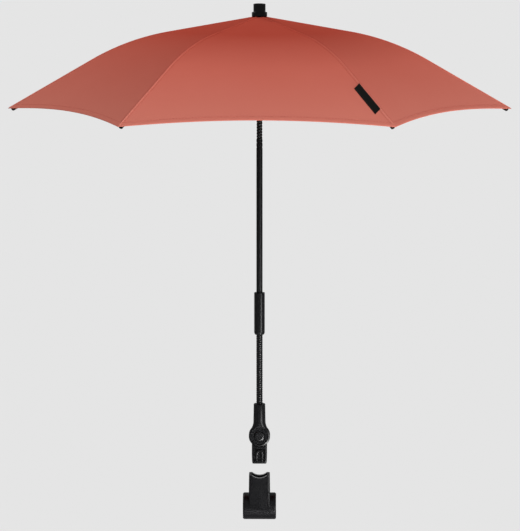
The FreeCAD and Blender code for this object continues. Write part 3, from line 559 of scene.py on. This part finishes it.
def cloth_sheet(index):
    """The cover from the middle of one gore to the middle of the next, with a rib's seam between."""
    points, spots = [], []
    for row in range(CLOTH_ROWS + 1):
        for column in range(-CLOTH_COLUMNS, CLOTH_COLUMNS + 1):
            across = 0.5 * column / CLOTH_COLUMNS
            edge = hem_radius(abs(across))
            radius = CROWN_RADIUS + (edge - CROWN_RADIUS) * row / CLOTH_ROWS
            points.append(cloth_point(index, radius, across))
            spots.append((across * radius, radius))
    wide = 2 * CLOTH_COLUMNS + 1
    faces = [(row * wide + i, row * wide + i + 1, (row + 1) * wide + i + 1, (row + 1) * wide + i)
             for row in range(CLOTH_ROWS) for i in range(wide - 1)]
    made = piece(f"cover_{index + 1}", points, faces, CORAL)
    cloth_uv(made, spots)
    solid = bmesh.new()
    solid.from_mesh(made.data)
    if sum(face.normal.z for face in solid.faces) < 0:
        bmesh.ops.reverse_faces(solid, faces=solid.faces)
    solid.verts.ensure_lookup_table()
    for row in range(CLOTH_ROWS):
        first, second = (solid.verts[(row + i) * wide + CLOTH_COLUMNS] for i in (0, 1))
        solid.edges.get((first, second)).smooth = False
    solid.to_mesh(made.data)
    solid.free()
    thick = made.modifiers.new("thick", "SOLIDIFY")
    thick.thickness = CLOTH_THICKNESS
    thick.offset = 1
    settled(made)
    solid = bmesh.new()
    solid.from_mesh(made.data)
    for edge in solid.edges:
        if edge.calc_face_angle(0.0) > CLOTH_CREASE:
            edge.smooth = False
    solid.to_mesh(made.data)
    solid.free()
    return made


def strip(name, places, section, material):
    """A band swept along places; section gives a place's ring of points and where they lie on flat cloth."""
    rings, spots = [], []
    for place in places:
        ring, flat = section(place)
        rings.append(ring)
        spots += flat
    made = keep_edges(lofted(name, rings, material), angle=60)
    cloth_uv(made, spots)
    return made


def seam_band(index):
    """The raised felled seam along a rib."""
    inner, outer = 8 * MM, CORNER_RADIUS - 1.0 * MM
    count = 120
    places = [inner + (outer - inner) * i / count for i in range(count + 1)]
    half_shape = [(1.0, -0.2), (0.94, 0.55), (0.6, 0.85), (0.12, 1.15)]
    shape = [(-x, z) for x, z in half_shape] + half_shape[::-1]

    def section(radius):
        half = min(SEAM_HALF, radius * SEAM_NARROWS)
        ring = [cloth_point(index, radius, x * half / radius, CLOTH_THICKNESS + z * SEAM_RISE - SEAM_SUNK)
                for x, z in shape]
        return ring, [(x * half, radius) for x, z in shape]

    return strip(f"seam_{index + 1}", places, section, CORAL_SEAM_HIGHLIGHT)


def hem_band(index):
    """The folded hem along one piece of the cover, wrapped round its edge."""
    count = 96
    places = [0.5 * (2 * i / count - 1) for i in range(count + 1)]
    shape = [(HEM_WIDTH, 0.3 * MM), (HEM_WIDTH * 0.9, 0.56 * MM), (1.0 * MM, 0.62 * MM),
             (-0.4 * MM, 0.45 * MM), (-0.6 * MM, 0.1 * MM), (-0.4 * MM, -0.3 * MM),
             (1.0 * MM, -0.5 * MM), (HEM_WIDTH * 0.96, -0.45 * MM)]

    def section(across):
        edge = hem_radius(abs(across))
        ring = [cloth_point(index, edge - inward, across, lift) for inward, lift in shape]
        return ring, [(across * edge, edge - inward) for inward, lift in shape]

    return strip(f"hem_{index + 1}", places, section, CORAL)


def stitch_row(name, line, normals, radii, material):
    """A row of thread stitches along a line of points: each one a short bowed tube."""
    lengths = [0.0]
    for before, after in zip(line, line[1:]):
        lengths.append(lengths[-1] + (after - before).length)

    def at(distance):
        for i in range(len(lengths) - 1):
            if distance <= lengths[i + 1]:
                share = (distance - lengths[i]) / (lengths[i + 1] - lengths[i])
                return line[i].lerp(line[i + 1], share), normals[i], radii[i]
        return line[-1], normals[-1], radii[-1]

    points, spots, faces = [], [], []
    sides = 6
    bows = ((0.0, -0.6), (0.18, 0.35), (0.5, 0.6), (0.82, 0.35), (1.0, -0.6))
    for number in range(int(lengths[-1] / STITCH_PITCH)):
        begin = (number + STITCH_START) * STITCH_PITCH
        way = (at(begin + STITCH_LENGTH)[0] - at(begin)[0]).normalized()
        base = len(points)
        for along, lift in bows:
            spot, up, radius = at(begin + along * STITCH_LENGTH)
            side = way.cross(up).normalized()
            middle = spot + up * (lift * STITCH_RADIUS)
            for i in range(sides):
                angle = tau * i / sides
                points.append(middle + (side * cos(angle) + up * sin(angle)) * STITCH_RADIUS)
                spots.append((0.0, radius))
        for ring in range(len(bows) - 1):
            for i in range(sides):
                a, b = base + ring * sides + i, base + ring * sides + (i + 1) % sides
                faces.append((a, b, b + sides, a + sides))
        faces.append(tuple(base + i for i in range(sides)))
        faces.append(tuple(base + (len(bows) - 1) * sides + i for i in range(sides)))
    made = piece(name, points, faces, material)
    cloth_uv(made, spots)
    return made


def seam_stitches(index, side):
    """One row of stitches beside a seam."""
    beside = SEAM_STITCH_BESIDE * side
    inner, outer = 14 * MM, CORNER_RADIUS - 6 * MM
    count = 90
    radii = [inner + (outer - inner) * i / count for i in range(count + 1)]
    lift = CLOTH_THICKNESS + STITCH_RADIUS * 0.2
    line = [cloth_point(index, radius, beside / radius, lift) for radius in radii]
    normals = [cloth_normal(index, radius, beside / radius) for radius in radii]
    name = f"seam_stitches_{index + 1}_{'left' if side > 0 else 'right'}"
    return stitch_row(name, line, normals, radii, CORAL_THREAD)


def hem_stitches(index):
    """The row of stitches that holds the hem, almost from one end of the piece to the other."""
    count = 80
    end = 0.497
    shares = [end * (2 * i / count - 1) for i in range(count + 1)]
    inward = HEM_WIDTH - HEM_STITCH_INSIDE
    radii = [hem_radius(abs(share)) - inward for share in shares]
    line = [cloth_point(index, radius, share, HEM_STITCH_LIFT) for radius, share in zip(radii, shares)]
    normals = [cloth_normal(index, radius, share or BESIDE_RIB) for radius, share in zip(radii, shares)]
    return stitch_row(f"hem_stitches_{index + 1}", line, normals, radii, CORAL_THREAD)


def add_cover():
    """The cover, in six pieces that each ride on a rib."""
    for index in range(RIBS):
        sheet = cloth_sheet(index)
        trims = [seam_band(index), hem_band(index), hem_stitches(index), seam_stitches(index, 1),
                 seam_stitches(index, -1)]
        for made in (sheet, *trims):
            finish(made, f"rib_{index + 1}", "canopy_fabric")
            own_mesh(made)
        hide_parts(f"canopy_panel_{index + 1}")


# The bare sewn tag.

TAG_RIB = 5
TAG_MIDDLE = 299.8 * MM
TAG_LENGTH = 61 * MM
TAG_WIDTH = 12.4 * MM
TAG_SLANT = 12.5 * MM
TAG_THICKNESS = 0.7 * MM
TAG_LIFT = 0.2 * MM
TAG_RIPPLE = 0.12 * MM
TAG_RIPPLES = 21
TAG_ROWS = 40
TAG_COLUMNS = 10
TAG_STITCH_SIDE = 0.09
TAG_STITCH_END = 0.03
TAG_FACES = -0.05


def add_tag():
    """A strip of black woven tape, sewn flat beside the front right seam."""
    start = TAG_MIDDLE - TAG_LENGTH * cos(TIP_SLOPE) * 0.5

    def spot(along, across, lift):
        radius = start + (along * TAG_LENGTH + across * TAG_SLANT) * cos(TIP_SLOPE)
        beside = SEAM_HALF * 0.4 + across * TAG_WIDTH
        ripple = TAG_RIPPLE * sin(along * TAG_RIPPLES) * across
        return cloth_point(TAG_RIB, radius, -beside / radius, CLOTH_THICKNESS + TAG_LIFT + lift + ripple)

    rings = []
    for i in range(TAG_ROWS + 1):
        along = i / TAG_ROWS
        top = [spot(along, j / TAG_COLUMNS, TAG_THICKNESS) for j in range(TAG_COLUMNS + 1)]
        under = [spot(along, j / TAG_COLUMNS, 0.0) for j in range(TAG_COLUMNS, -1, -1)]
        rings.append(top + under)
    made = lofted("sewn_tag", rings, TAG)
    keep_edges(made, angle=50)
    wide = 2 * (TAG_COLUMNS + 1)
    cloth_uv(made, [((i % wide) * MM, (i // wide) * 1.5 * MM) for i in range(len(made.data.vertices))])
    finish(made, f"rib_{TAG_RIB + 1}", "tag_fabric", "label_tag")
    rows = []
    shares = [TAG_STITCH_END + (1 - 2 * TAG_STITCH_END) * i / TAG_ROWS for i in range(TAG_ROWS + 1)]
    normals = [cloth_normal(TAG_RIB, TAG_MIDDLE, TAG_FACES)] * len(shares)
    for number, across in enumerate((TAG_STITCH_SIDE, 1 - TAG_STITCH_SIDE)):
        line = [spot(share, across, TAG_THICKNESS + 0.1 * MM) for share in shares]
        rows.append(stitch_row(f"tag_stitches_{number + 1}", line, normals, [0.0] * len(line), TAG_THREAD))
    for row in rows:
        finish(row, f"rib_{TAG_RIB + 1}", "tag_fabric")
    for soft in (made, *rows):
        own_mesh(soft)


# The goosenecks.

LOWER_RADIUS = 4.7 * MM
LOWER_GROOVE = 0.85 * MM
LOWER_PITCH = 3.18 * MM
LOWER_SEAT = 3 * MM
UPPER_RADIUS = 4.25 * MM
UPPER_GROOVE = 1.0 * MM
UPPER_PITCH = 4.3 * MM
UPPER_SEAT = 0.2 * MM


def wound_tube(name, radius, groove, pitch, low, high):
    """A gooseneck's skin: one wire wound tight, so that each turn is a round ridge beside the next."""
    sides = 28
    per_turn = 10
    rows = int((high - low) / pitch * per_turn)
    rings = []
    for row in range(rows + 1):
        height = low + (high - low) * row / rows
        ring = []
        for i in range(sides):
            angle = tau * i / sides
            phase = ((height - low) / pitch - i / sides) % 1.0
            bulge = sqrt(max(0.0, 1 - (2 * phase - 1) ** 2))
            here = radius - groove * (1 - bulge)
            ring.append(Vector((here * cos(angle), ARM_Y + here * sin(angle), height)))
        rings.append(ring)
    return lofted(name, rings, NECK_METAL)


def add_necks():
    """Both goosenecks: the lower one in two stretches that meet between its bends, the upper one in one."""
    middle = (joints["lower_bend_fore"]["pos_m"][2] + joints["lower_bend_side"]["pos_m"][2]) / 2
    bottom, top = HEAD_TOP - LOWER_SEAT, COLLAR_BOTTOM + LOWER_SEAT
    pitch = (middle - bottom) / round((middle - bottom) / LOWER_PITCH)
    first = wound_tube("lower_neck_below", LOWER_RADIUS, LOWER_GROOVE, pitch, bottom, middle)
    second = wound_tube("lower_neck_above", LOWER_RADIUS, LOWER_GROOVE, pitch, middle, top)
    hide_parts("lower_neck_core", "lower_neck_winding")
    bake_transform(first)
    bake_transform(second)
    bottom, top = POLE_TOP - UPPER_SEAT, SHAFT_BOTTOM + UPPER_SEAT
    upper = wound_tube("upper_neck", UPPER_RADIUS, UPPER_GROOVE, UPPER_PITCH, bottom, top)
    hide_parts("upper_neck_core", "upper_neck_winding")
    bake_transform(upper)


# The turned pieces.

POLE_RADIUS = 4.5 * MM
CRIMPS_BELOW_TOP = (11.4 * MM, 4.6 * MM)
CRIMP_HALF = 1.1 * MM
CRIMP_FLOOR = 0.35 * MM
CRIMP_DEPTH = 0.55 * MM
COLLAR_RADIUS = 7.75 * MM
COLLAR_MOUTH = 4.8 * MM
COLLAR_BORE = 4.62 * MM
COLLAR_TOE = 1.0 * MM
COLLAR_TOE_RISE = 2.8 * MM
FERRULE_BORE = 4.6 * MM
FLANGE_RADIUS = 11.0 * MM
FLANGE_RISE = 5.6 * MM
KNOB_RADIUS = 8.7 * MM


def add_pole():
    """The smooth tube with its two rolled crimps, and the collar over its lower end."""
    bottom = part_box("pole")[0][2]
    sunk = POLE_RADIUS - CRIMP_DEPTH
    profile = [(0, bottom), (POLE_RADIUS, bottom)]
    for below in CRIMPS_BELOW_TOP:
        middle = POLE_TOP - below
        profile += [(POLE_RADIUS, middle - CRIMP_HALF), (sunk, middle - CRIMP_FLOOR),
                    (sunk, middle + CRIMP_FLOOR), (POLE_RADIUS, middle + CRIMP_HALF)]
    profile += [(POLE_RADIUS, POLE_TOP), (0, POLE_TOP)]
    made = lathe("pole_tube", profile, BLACK_METAL, centre=(0, ARM_Y, 0))
    finish(made, "pole", "black_metal", "pole")
    profile = [(POLE_RADIUS, COLLAR_BOTTOM + 2 * MM), (COLLAR_MOUTH, COLLAR_BOTTOM),
               (COLLAR_RADIUS - COLLAR_TOE, COLLAR_BOTTOM), (COLLAR_RADIUS, COLLAR_BOTTOM + COLLAR_TOE_RISE),
               (COLLAR_RADIUS, COLLAR_TOP), (COLLAR_BORE, COLLAR_TOP), (COLLAR_BORE, COLLAR_TOP - 3 * MM)]
    made = lathe("collar_sleeve", profile, PLASTIC, centre=(0, ARM_Y, 0), rounding=0.3 * MM)
    finish(made, "pole", "black_plastic", "collar")


def add_ferrule():
    """The cap on top: a round flange on the cover, and a straight knob with a slightly domed top."""
    low, high = (corner[2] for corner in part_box("ferrule"))
    crown = on_rib(0, CROWN_RADIUS).z + 1.0 * MM
    flange = crown + FLANGE_RISE
    profile = [(FERRULE_BORE, crown), (FLANGE_RADIUS, low), (FLANGE_RADIUS, flange),
               (KNOB_RADIUS, flange + 0.3 * MM), (KNOB_RADIUS, high - 0.6 * MM), (4.0 * MM, high - 0.05 * MM),
               (0, high)]
    made = lathe("ferrule_cap", profile, PLASTIC, centre=(0, ARM_Y, 0), rounding=1.0 * MM)
    finish(made, "crown", "black_plastic", "ferrule")


# The pivot head.

DISC_RADIUS = 15.6 * MM
DISC_HALF = 7.5 * MM
DISC_EDGE = 1.6 * MM
RIM_RADIUS = 12.9 * MM
RIM_INSET = 0.4 * MM
RIM_FALL = 0.8 * MM
DISH_RADIUS = 12.2 * MM
DISH_DEPTH = 1.2 * MM
POCKET_RADIUS = 7.35 * MM
POCKET_DEPTH = 5.6 * MM
PIN_SINK = 5.15 * MM
PIN_SINK_DEPTH = 1.6 * MM
PIN_HOLE = 3.1 * MM
STEM_RADIUS = 8.9 * MM
STEM_START = 0.75
STEM_STEPS = 18
FLARE_RISE = 21.8 * MM
CHEEK_INSET = 0.7 * MM
CHEEK_CORNER = 3.0 * MM
LIP_TAPER = 0.95
NECK_SOCKET = 4.85 * MM
NECK_SOCKET_DEPTH = 3 * MM
SLOT_HALF = 3.3 * MM
SLOT_ABOVE = 3.6 * MM
SLOT_CORNER = 0.1 * MM
SWING_RADIUS = 11.8 * MM
BUTTON_RADIUS = 7.0 * MM
BUTTON_WALL = 1.0 * MM
BUTTON_CAP = 1.6 * MM
BUTTON_POCKET = 7.3 * MM
CORNER_STEPS = 12

# The button's domed face: radius and depth behind its middle, in millimetres.
BUTTON_FACE = ((7.0, 1.1), (6.7, 0.6), (4.9, 0.15), (2.5, 0.04), (0.0, 0.0))


def rounded(half_wide, half_high, corner):
    """A rounded rectangle about nought; a circle where the corner is as large as both halves."""
    corner = min(corner, half_wide, half_high)
    spots = []
    for quarter in range(4):
        side = 1 if quarter in (0, 3) else -1
        end = 1 if quarter in (0, 1) else -1
        for i in range(CORNER_STEPS):
            angle = (quarter + i / (CORNER_STEPS - 1)) * pi / 2
            spots.append((side * (half_wide - corner) + corner * cos(angle),
                          end * (half_high - corner) + corner * sin(angle)))
    return spots


def rounded_ring(half_x, half_y, corner, height):
    """A level rounded rectangle about the arm's axis."""
    return [Vector((x, ARM_Y + y, height)) for x, y in rounded(half_x, half_y, corner)]


def upright_ring(half_x, half_z, corner, y, middle):
    """An upright rounded rectangle that faces the viewer."""
    return [Vector((x, y, middle + z)) for x, z in rounded(half_x, half_z, corner)]


def ease_edges(made, width, angle, segments):
    """Adds a modifier that eases the edges sharper than an angle."""
    step = made.modifiers.new("edges", "BEVEL")
    step.width = width
    step.segments = segments
    step.limit_method = "ANGLE"
    step.angle_limit = radians(angle)


def bevelled(made, width, angle=40):
    """The piece with its sharp edges eased."""
    ease_edges(made, width, angle, segments=3)
    return keep_edges(settled(made))


def pin_hole(name):
    """A cutter for the pivot pin's hole, from behind the disc to its middle."""
    return rod(name, PIN_HOLE, -DISC_HALF, 0, segments=48)


def stem_rings():
    """The rings of the head's stem, from inside the disc, up its hollow flare and over the socket's lip."""
    flare = (STEM_RADIUS ** 2 + FLARE_RISE ** 2 - DISC_RADIUS ** 2) / (2 * (DISC_RADIUS - STEM_RADIUS))
    meet = DISC_RADIUS * FLARE_RISE / (DISC_RADIUS + flare)
    start = meet * STEM_START
    rings = []
    for i in range(STEM_STEPS + 1):
        share = i / STEM_STEPS
        rise = start + (FLARE_RISE - start) * share
        half = STEM_RADIUS + flare - sqrt(flare ** 2 - (FLARE_RISE - rise) ** 2)
        if rise < meet:
            half = min(half, sqrt(DISC_RADIUS ** 2 - rise ** 2))
        ease = share * share * (3 - 2 * share)
        deep = (DISC_HALF - CHEEK_INSET) * (1 - ease) + STEM_RADIUS * ease
        corner = CHEEK_CORNER * (1 - ease) + STEM_RADIUS * ease
        rings.append(rounded_ring(half, deep, corner, DISC_Z + rise))
    lip = STEM_RADIUS * LIP_TAPER
    for inset, below in ((0.0, 0.8), (0.3, 0.1), (0.9, 0.0)):
        half = lip - inset * MM
        rings.append(rounded_ring(half, half, lip, HEAD_TOP - below * MM))
    for below in (0.0, NECK_SOCKET_DEPTH):
        rings.append(rounded_ring(NECK_SOCKET, NECK_SOCKET, NECK_SOCKET, HEAD_TOP - below))
    return rings


def add_head():
    """The pivot head: a dished disc, flared up into a round socket, slotted for the plug's tongue."""
    front, back = DISC_HALF, -DISC_HALF
    sink, dish, floor = back + PIN_SINK_DEPTH, front - DISH_DEPTH, front - POCKET_DEPTH
    profile = [(0, sink), (PIN_SINK, sink), (PIN_SINK, back), (DISC_RADIUS - DISC_EDGE, back),
               (DISC_RADIUS, back + DISC_EDGE), (DISC_RADIUS, front - DISC_EDGE),
               (DISC_RADIUS - RIM_INSET, front - RIM_FALL), (RIM_RADIUS, front), (DISH_RADIUS, dish),
               (POCKET_RADIUS, dish), (POCKET_RADIUS, floor), (0, floor)]
    disc = lathe("pivot_head", profile, PLASTIC, "-Y", PIVOT, segments=96)
    stem = lofted("head_stem", stem_rings())
    room, clear = 0.05 * MM, front + 1 * MM
    cutter = [(0, 0), (POCKET_RADIUS + room, 0), (POCKET_RADIUS + room, dish - room),
              (DISH_RADIUS + room, dish - room), (RIM_RADIUS + room, front), (RIM_RADIUS + room, clear),
              (0, clear)]
    less(stem, lathe("head_dish", cutter, PLASTIC, "-Y", PIVOT, SHARP, 96))
    head = plus(disc, stem)
    ends = (DISC_Z - DISC_RADIUS - 2 * MM, DISC_Z + SLOT_ABOVE)
    rings = [rounded_ring(DISC_RADIUS + 3 * MM, SLOT_HALF, SLOT_CORNER, z) for z in ends]
    slot = lofted("head_slot", rings)
    swing = rod("head_swing", SWING_RADIUS, -SLOT_HALF, SLOT_HALF, segments=64)
    less(head, slot, swing, pin_hole("head_pin_hole"))
    finish(head, "head", "black_plastic", "arm_head")


def add_button():
    """The round lock button, a cup with a slightly domed face and a soft rim, and the spring behind it."""
    front, back = (corner[1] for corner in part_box("lock_button"))
    hollow, inside = BUTTON_RADIUS - BUTTON_WALL, -front - BUTTON_CAP
    profile = [(0, inside), (hollow, inside), (hollow, -back), (BUTTON_RADIUS, -back)]
    profile += [(radius * MM, -front - depth * MM) for radius, depth in BUTTON_FACE]
    made = lathe("button_cap", profile, BUTTON, "-Y", (0, 0, DISC_Z))
    finish(made, "button", "button_plastic", "lock_button")
    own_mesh(nodes["button_spring"])


# The plug and the clip.

PLUG_HALF_WIDE = 11.15 * MM
PLUG_HALF_DEEP = 7.0 * MM
PLUG_SHOULDER = 10.5 * MM
PLUG_CORNER = 2.2 * MM
PLUG_CLEARANCE = 0.3 * MM
TONGUE_RADIUS = 11.5 * MM
TONGUE_HALF = 3.0 * MM
TONGUE_WALL = 2.0 * MM
TONGUE_NECK = 6.2 * MM
WINDOW_HALF = 8.2 * MM
WINDOW_HEIGHT = 19.0 * MM
WINDOW_BASE = 3.2 * MM
WINDOW_DEPTH = 3.8 * MM
WINDOW_CORNER = 1.2 * MM
ARCH_HALF = 4.1 * MM
ARCH_HEIGHT = 16.1 * MM
ARCH_BAR = 1.2 * MM
ARCH_CROWN = 0.25 * MM
ARCH_SUNK = 0.2 * MM
ARCH_LEAN = tan(radians(7))

# The plug's tapered toe: height above its lower end and inset of its sides, in millimetres.
PLUG_TOE = ((0.0, 1.3), (0.4, 0.9), (3.5, 0.35), (14.0, 0.0))


def arch_bar(bottom, front):
    """The raised arch in the plug's window: a rounded bar up, over and down."""
    round_z = bottom + ARCH_HEIGHT - ARCH_HALF
    foot = bottom - 0.5 * MM
    spots = [(Vector((-ARCH_HALF, 0, foot)), Vector((-1, 0, 0)))]
    turns = 20
    for i in range(turns + 1):
        angle = pi * (1 - i / turns)
        out = Vector((cos(angle), 0, sin(angle)))
        spots.append((out * ARCH_HALF + Vector((0, 0, round_z)), out))
    spots.append((Vector((ARCH_HALF, 0, foot)), Vector((1, 0, 0))))
    deep = WINDOW_DEPTH / 2
    shares = [i / 4 for i in range(-4, 5)]
    section = [(ARCH_BAR * share, -deep - ARCH_CROWN * (1 - share ** 2)) for share in shares]
    section += [(ARCH_BAR, deep), (-ARCH_BAR, deep)]
    rings = []
    for spot, out in spots:
        lean = (bottom + ARCH_HEIGHT - spot.z) * ARCH_LEAN
        middle = Vector((spot.x, front + deep + ARCH_SUNK + lean, spot.z))
        rings.append([middle + out * u + Vector((0, v, 0)) for u, v in section])
    return lofted("plug_arch", rings)


def add_plug():
    """The square plug: a tapered toe, an arched window in front, a hollow shoulder and the pivot tongue."""
    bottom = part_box("plug")[0][2]
    front = ARM_Y - PLUG_HALF_DEEP
    rings = []
    for rise, inset in PLUG_TOE:
        half_wide, half_deep = PLUG_HALF_WIDE - inset * MM, PLUG_HALF_DEEP - inset * MM
        rings.append(rounded_ring(half_wide, half_deep, PLUG_CORNER, bottom + rise * MM))
    rings.append(rounded_ring(PLUG_HALF_WIDE, PLUG_HALF_DEEP, PLUG_CORNER, DISC_Z - PLUG_SHOULDER))
    body = lofted("plug_block", rings)
    half = WINDOW_HEIGHT / 2
    middle = bottom + WINDOW_BASE + half
    rings = []
    for depth, grow in ((-1.0 * MM, 1.5 * MM), (0.5 * MM, 0.0), (WINDOW_DEPTH, 0.0)):
        rings.append(upright_ring(WINDOW_HALF + grow, half + grow, WINDOW_CORNER, front + depth, middle))
    window = lofted("plug_window", rings)
    through = 9 * MM
    hollow = rod("plug_hollow", DISC_RADIUS + PLUG_CLEARANCE, -through, through)
    body = less(body, hollow, window)
    tongue = rod("plug_tongue", TONGUE_RADIUS, -TONGUE_HALF, TONGUE_HALF, segments=72, rounding=0.3 * MM)
    ends = (DISC_Z - 18.0 * MM, DISC_Z - 4.0 * MM)
    neck = lofted("plug_neck", [rounded_ring(TONGUE_NECK, TONGUE_HALF, 0.3 * MM, z) for z in ends])
    plus(body, arch_bar(bottom + WINDOW_BASE, front), tongue, neck)
    pocket = rod("plug_pocket", BUTTON_POCKET, TONGUE_WALL - TONGUE_HALF, DISC_HALF, segments=64)
    less(body, pocket, pin_hole("plug_pin_hole"))
    bevelled(body, 0.3 * MM)
    finish(body, "plug", "black_plastic", "plug")


CLIP_RADIUS = 19.75 * MM
CLIP_BORE = 14.9 * MM
CLIP_EDGE = 2.0 * MM
CLIP_MOUTH = 10 * MM
MOUTH_DEPTH = 24 * MM
STEM_HALF_WIDE = 15.65 * MM
STEM_HALF_DEEP = 12 * MM
STEM_CORNER = 3.0 * MM
SOCKET_FLOOR = 21.9 * MM
SCOOP_ROOM = 1.3 * MM
DOCKED_Z = 63.3 * MM


def add_clip():
    """The clip: a C-shaped ring for the pram's tube, and the scooped stem with the plug's socket."""
    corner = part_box("clamp_body")[1]
    half, top = corner[0], corner[2]
    beyond = half + CLIP_EDGE
    face = CLIP_RADIUS - CLIP_EDGE * 0.6
    profile = [(0, -half), (face, -half), (CLIP_RADIUS, CLIP_EDGE - half), (CLIP_RADIUS, half - CLIP_EDGE),
               (face, half), (0, half)]
    ring = lathe("clip_body", profile, PLASTIC, "X", rounding=1.2 * MM, segments=96)
    rings = [rounded_ring(STEM_HALF_WIDE + 0.3 * MM, STEM_HALF_DEEP, STEM_CORNER, 2 * MM),
             rounded_ring(STEM_HALF_WIDE - 0.4 * MM, STEM_HALF_DEEP, STEM_CORNER, top)]
    stem = lofted("clip_stem", rings)
    plus(ring, stem)
    bore = rod("clip_bore", CLIP_BORE, -beyond, beyond, "X", (0, 0, 0))
    rings = [upright_ring(beyond, CLIP_MOUTH, SLOT_CORNER, y, 0) for y in (0, MOUTH_DEPTH)]
    mouth = lofted("clip_mouth", rings)
    half_wide, half_deep = PLUG_HALF_WIDE + PLUG_CLEARANCE, PLUG_HALF_DEEP + PLUG_CLEARANCE
    rings = [rounded_ring(half_wide, half_deep, 1.0 * MM, z) for z in (SOCKET_FLOOR, top + CLIP_EDGE)]
    socket = lofted("clip_socket", rings)
    through = 16 * MM
    scoop = rod("clip_scoop", DISC_RADIUS + SCOOP_ROOM, -through, through, centre=(0, ARM_Y, DOCKED_Z),
                material=LIP)
    less(ring, bore, mouth, socket, scoop)
    bevelled(ring, 0.5 * MM, angle=50)
    finish(ring, "clip", "black_plastic", "clamp_body")


# The frame's own nodes that keep their shape: each one's finish, and the easing of its edges in millimetres.

NODE_WELD = 0.002 * MM
NODE_CREASE = radians(38)
NODE_LOOKS = {
    "clamp_liner": (RUBBER, 0.3),
    "pivot_pin": (STEEL, 0.2),
    "button_spring": (STEEL, 0),
    "shaft": (BLACK_METAL, 0),
    "runner_catch": (STEEL, 0.15),
    "crown_hub": (PLASTIC, 0.2),
    "crown_tie_wire": (STEEL, 0),
    "runner": (PLASTIC, 0.3),
    "runner_tie_wire": (STEEL, 0),
}


def dress_nodes():
    """Gives each node that stays its finish, welded and eased along its edges."""
    looks = dict(NODE_LOOKS)
    for number in range(1, RIBS + 1):
        looks[f"rib_{number}"] = (RIB_METAL, 0)
        looks[f"rib_tip_{number}"] = (PLASTIC, 0.35)
        looks[f"stretcher_{number}"] = (RIB_METAL, 0.15)
        looks[f"joint_pin_{number}"] = (STEEL, 0.12)
    for name, (material, edge) in looks.items():
        node = nodes[name]
        node.data.materials.clear()
        node.data.materials.append(material)
        weld = node.modifiers.new("weld", "WELD")
        weld.merge_threshold = NODE_WELD
        if edge:
            ease_edges(node, edge * MM, angle=40, segments=2)
        node.data.shade_smooth()
        split = node.modifiers.new("creases", "EDGE_SPLIT")
        split.split_angle = NODE_CREASE


# Floor and light.

FLOOR_Z = -1.0
FLOOR_GLOW = 0.88
PALE = linear(230, 230, 230)
PALE_FLOOR = linear(235, 235, 235)


def add_floor():
    """A plain pale floor, well below the parasol, which is held up by its clip; clear from below."""
    half = 90.0
    corners = [(x * half, y * half, FLOOR_Z) for x, y in ((-1, -1), (1, -1), (1, 1), (-1, 1))]
    shader = Shader("floor", Roughness=0.9, Base_Color=PALE)
    glow = shader.add("ShaderNodeEmission", Color=PALE_FLOOR, Strength=1.0)
    share = shader.maths("MULTIPLY", shader.seen(), FLOOR_GLOW)
    pale = shader.mixed(share, shader.surface.outputs["BSDF"], glow.outputs["Emission"])
    below = shader.add("ShaderNodeNewGeometry").outputs["Backfacing"]
    sided = shader.mixed(below, pale, shader.add("ShaderNodeBsdfTransparent").outputs["BSDF"])
    shader.link(sided, shader.tree.nodes["Material Output"].inputs["Surface"])
    piece("floor", corners, [(0, 1, 2, 3)], shader.material, smooth=False)


# The room's light: the side it comes from, how narrow it is, its strength there and all round.
ROOM_SIDE = (0.22, -0.94, 0.22)
ROOM_FOCUS = 2.5
ROOM_LEVEL = 2.95
ROOM_FILL = 0.06

# Each lamp's name, width, height, watts, spread in degrees, place, and the height on the arm that it faces.
LAMPS = (
    ("right_softbox", 0.5, 0.75, 5.4, 60, (1.52, -1.72, -0.2), 0.1),
    ("low_card", 0.42, 0.62, 2.3, 24, (0.41, -0.665, -0.47), 0.09),
    ("floor_card", 0.5, 0.8, 1.5, 180, (0.0, -0.55, -0.6), 0.0),
    ("left_window", 0.8, 0.8, 14.0, 180, (-0.9, 1.3, 1.9), 0.65),
)


def add_world():
    """A soft bright room in front; the camera, gloss and glass see a plain pale backdrop in its place."""
    world = bpy.data.worlds.new("studio")
    bpy.context.scene.world = world
    world.use_nodes = True
    room = Nodes(world.node_tree)
    facing = room.add("ShaderNodeVectorMath", operation="DOT_PRODUCT")
    facing.inputs[1].default_value = Vector(ROOM_SIDE).normalized()
    room.link(room.add("ShaderNodeTexCoord").outputs["Generated"], facing.inputs[0])
    level = facing.outputs["Value"]
    steps = (("MAXIMUM", 0.0), ("POWER", ROOM_FOCUS), ("MULTIPLY", ROOM_LEVEL), ("ADD", ROOM_FILL))
    for operation, amount in steps:
        level = room.maths(operation, level, amount)
    light = room.tree.nodes["Background"]
    light.inputs["Color"].default_value = (1.0, 1.0, 1.0, 1.0)
    room.link(level, light.inputs["Strength"])
    pale = room.add("ShaderNodeBackground", Color=PALE)
    mix = room.mixed(room.seen(), light.outputs["Background"], pale.outputs["Background"])
    room.link(mix, room.tree.nodes["World Output"].inputs["Surface"])


def add_lamps():
    """A softbox in front on the right, two cards low in front, and a window high behind on the left."""
    for name, wide, high, watts, spread, place, aimed_at in LAMPS:
        data = bpy.data.lights.new(name, "AREA")
        data.shape = "RECTANGLE"
        data.size = wide
        data.size_y = high
        data.energy = watts
        data.spread = radians(spread)
        lamp = bpy.data.objects.new(name, data)
        lamp.location = place
        aim = Vector((0, ARM_Y, aimed_at)) - lamp.location
        lamp.rotation_euler = aim.to_track_quat("-Z", "Y").to_euler()
        bpy.context.scene.collection.objects.link(lamp)


def build():
    """Everything in the scene, in turn."""
    bpy.context.scene.view_settings.view_transform = "Standard"
    add_camera()
    add_floor()
    add_world()
    add_lamps()
    add_cover()
    add_tag()
    add_necks()
    add_pole()
    add_ferrule()
    add_head()
    add_button()
    add_plug()
    add_clip()
    dress_nodes()


build()
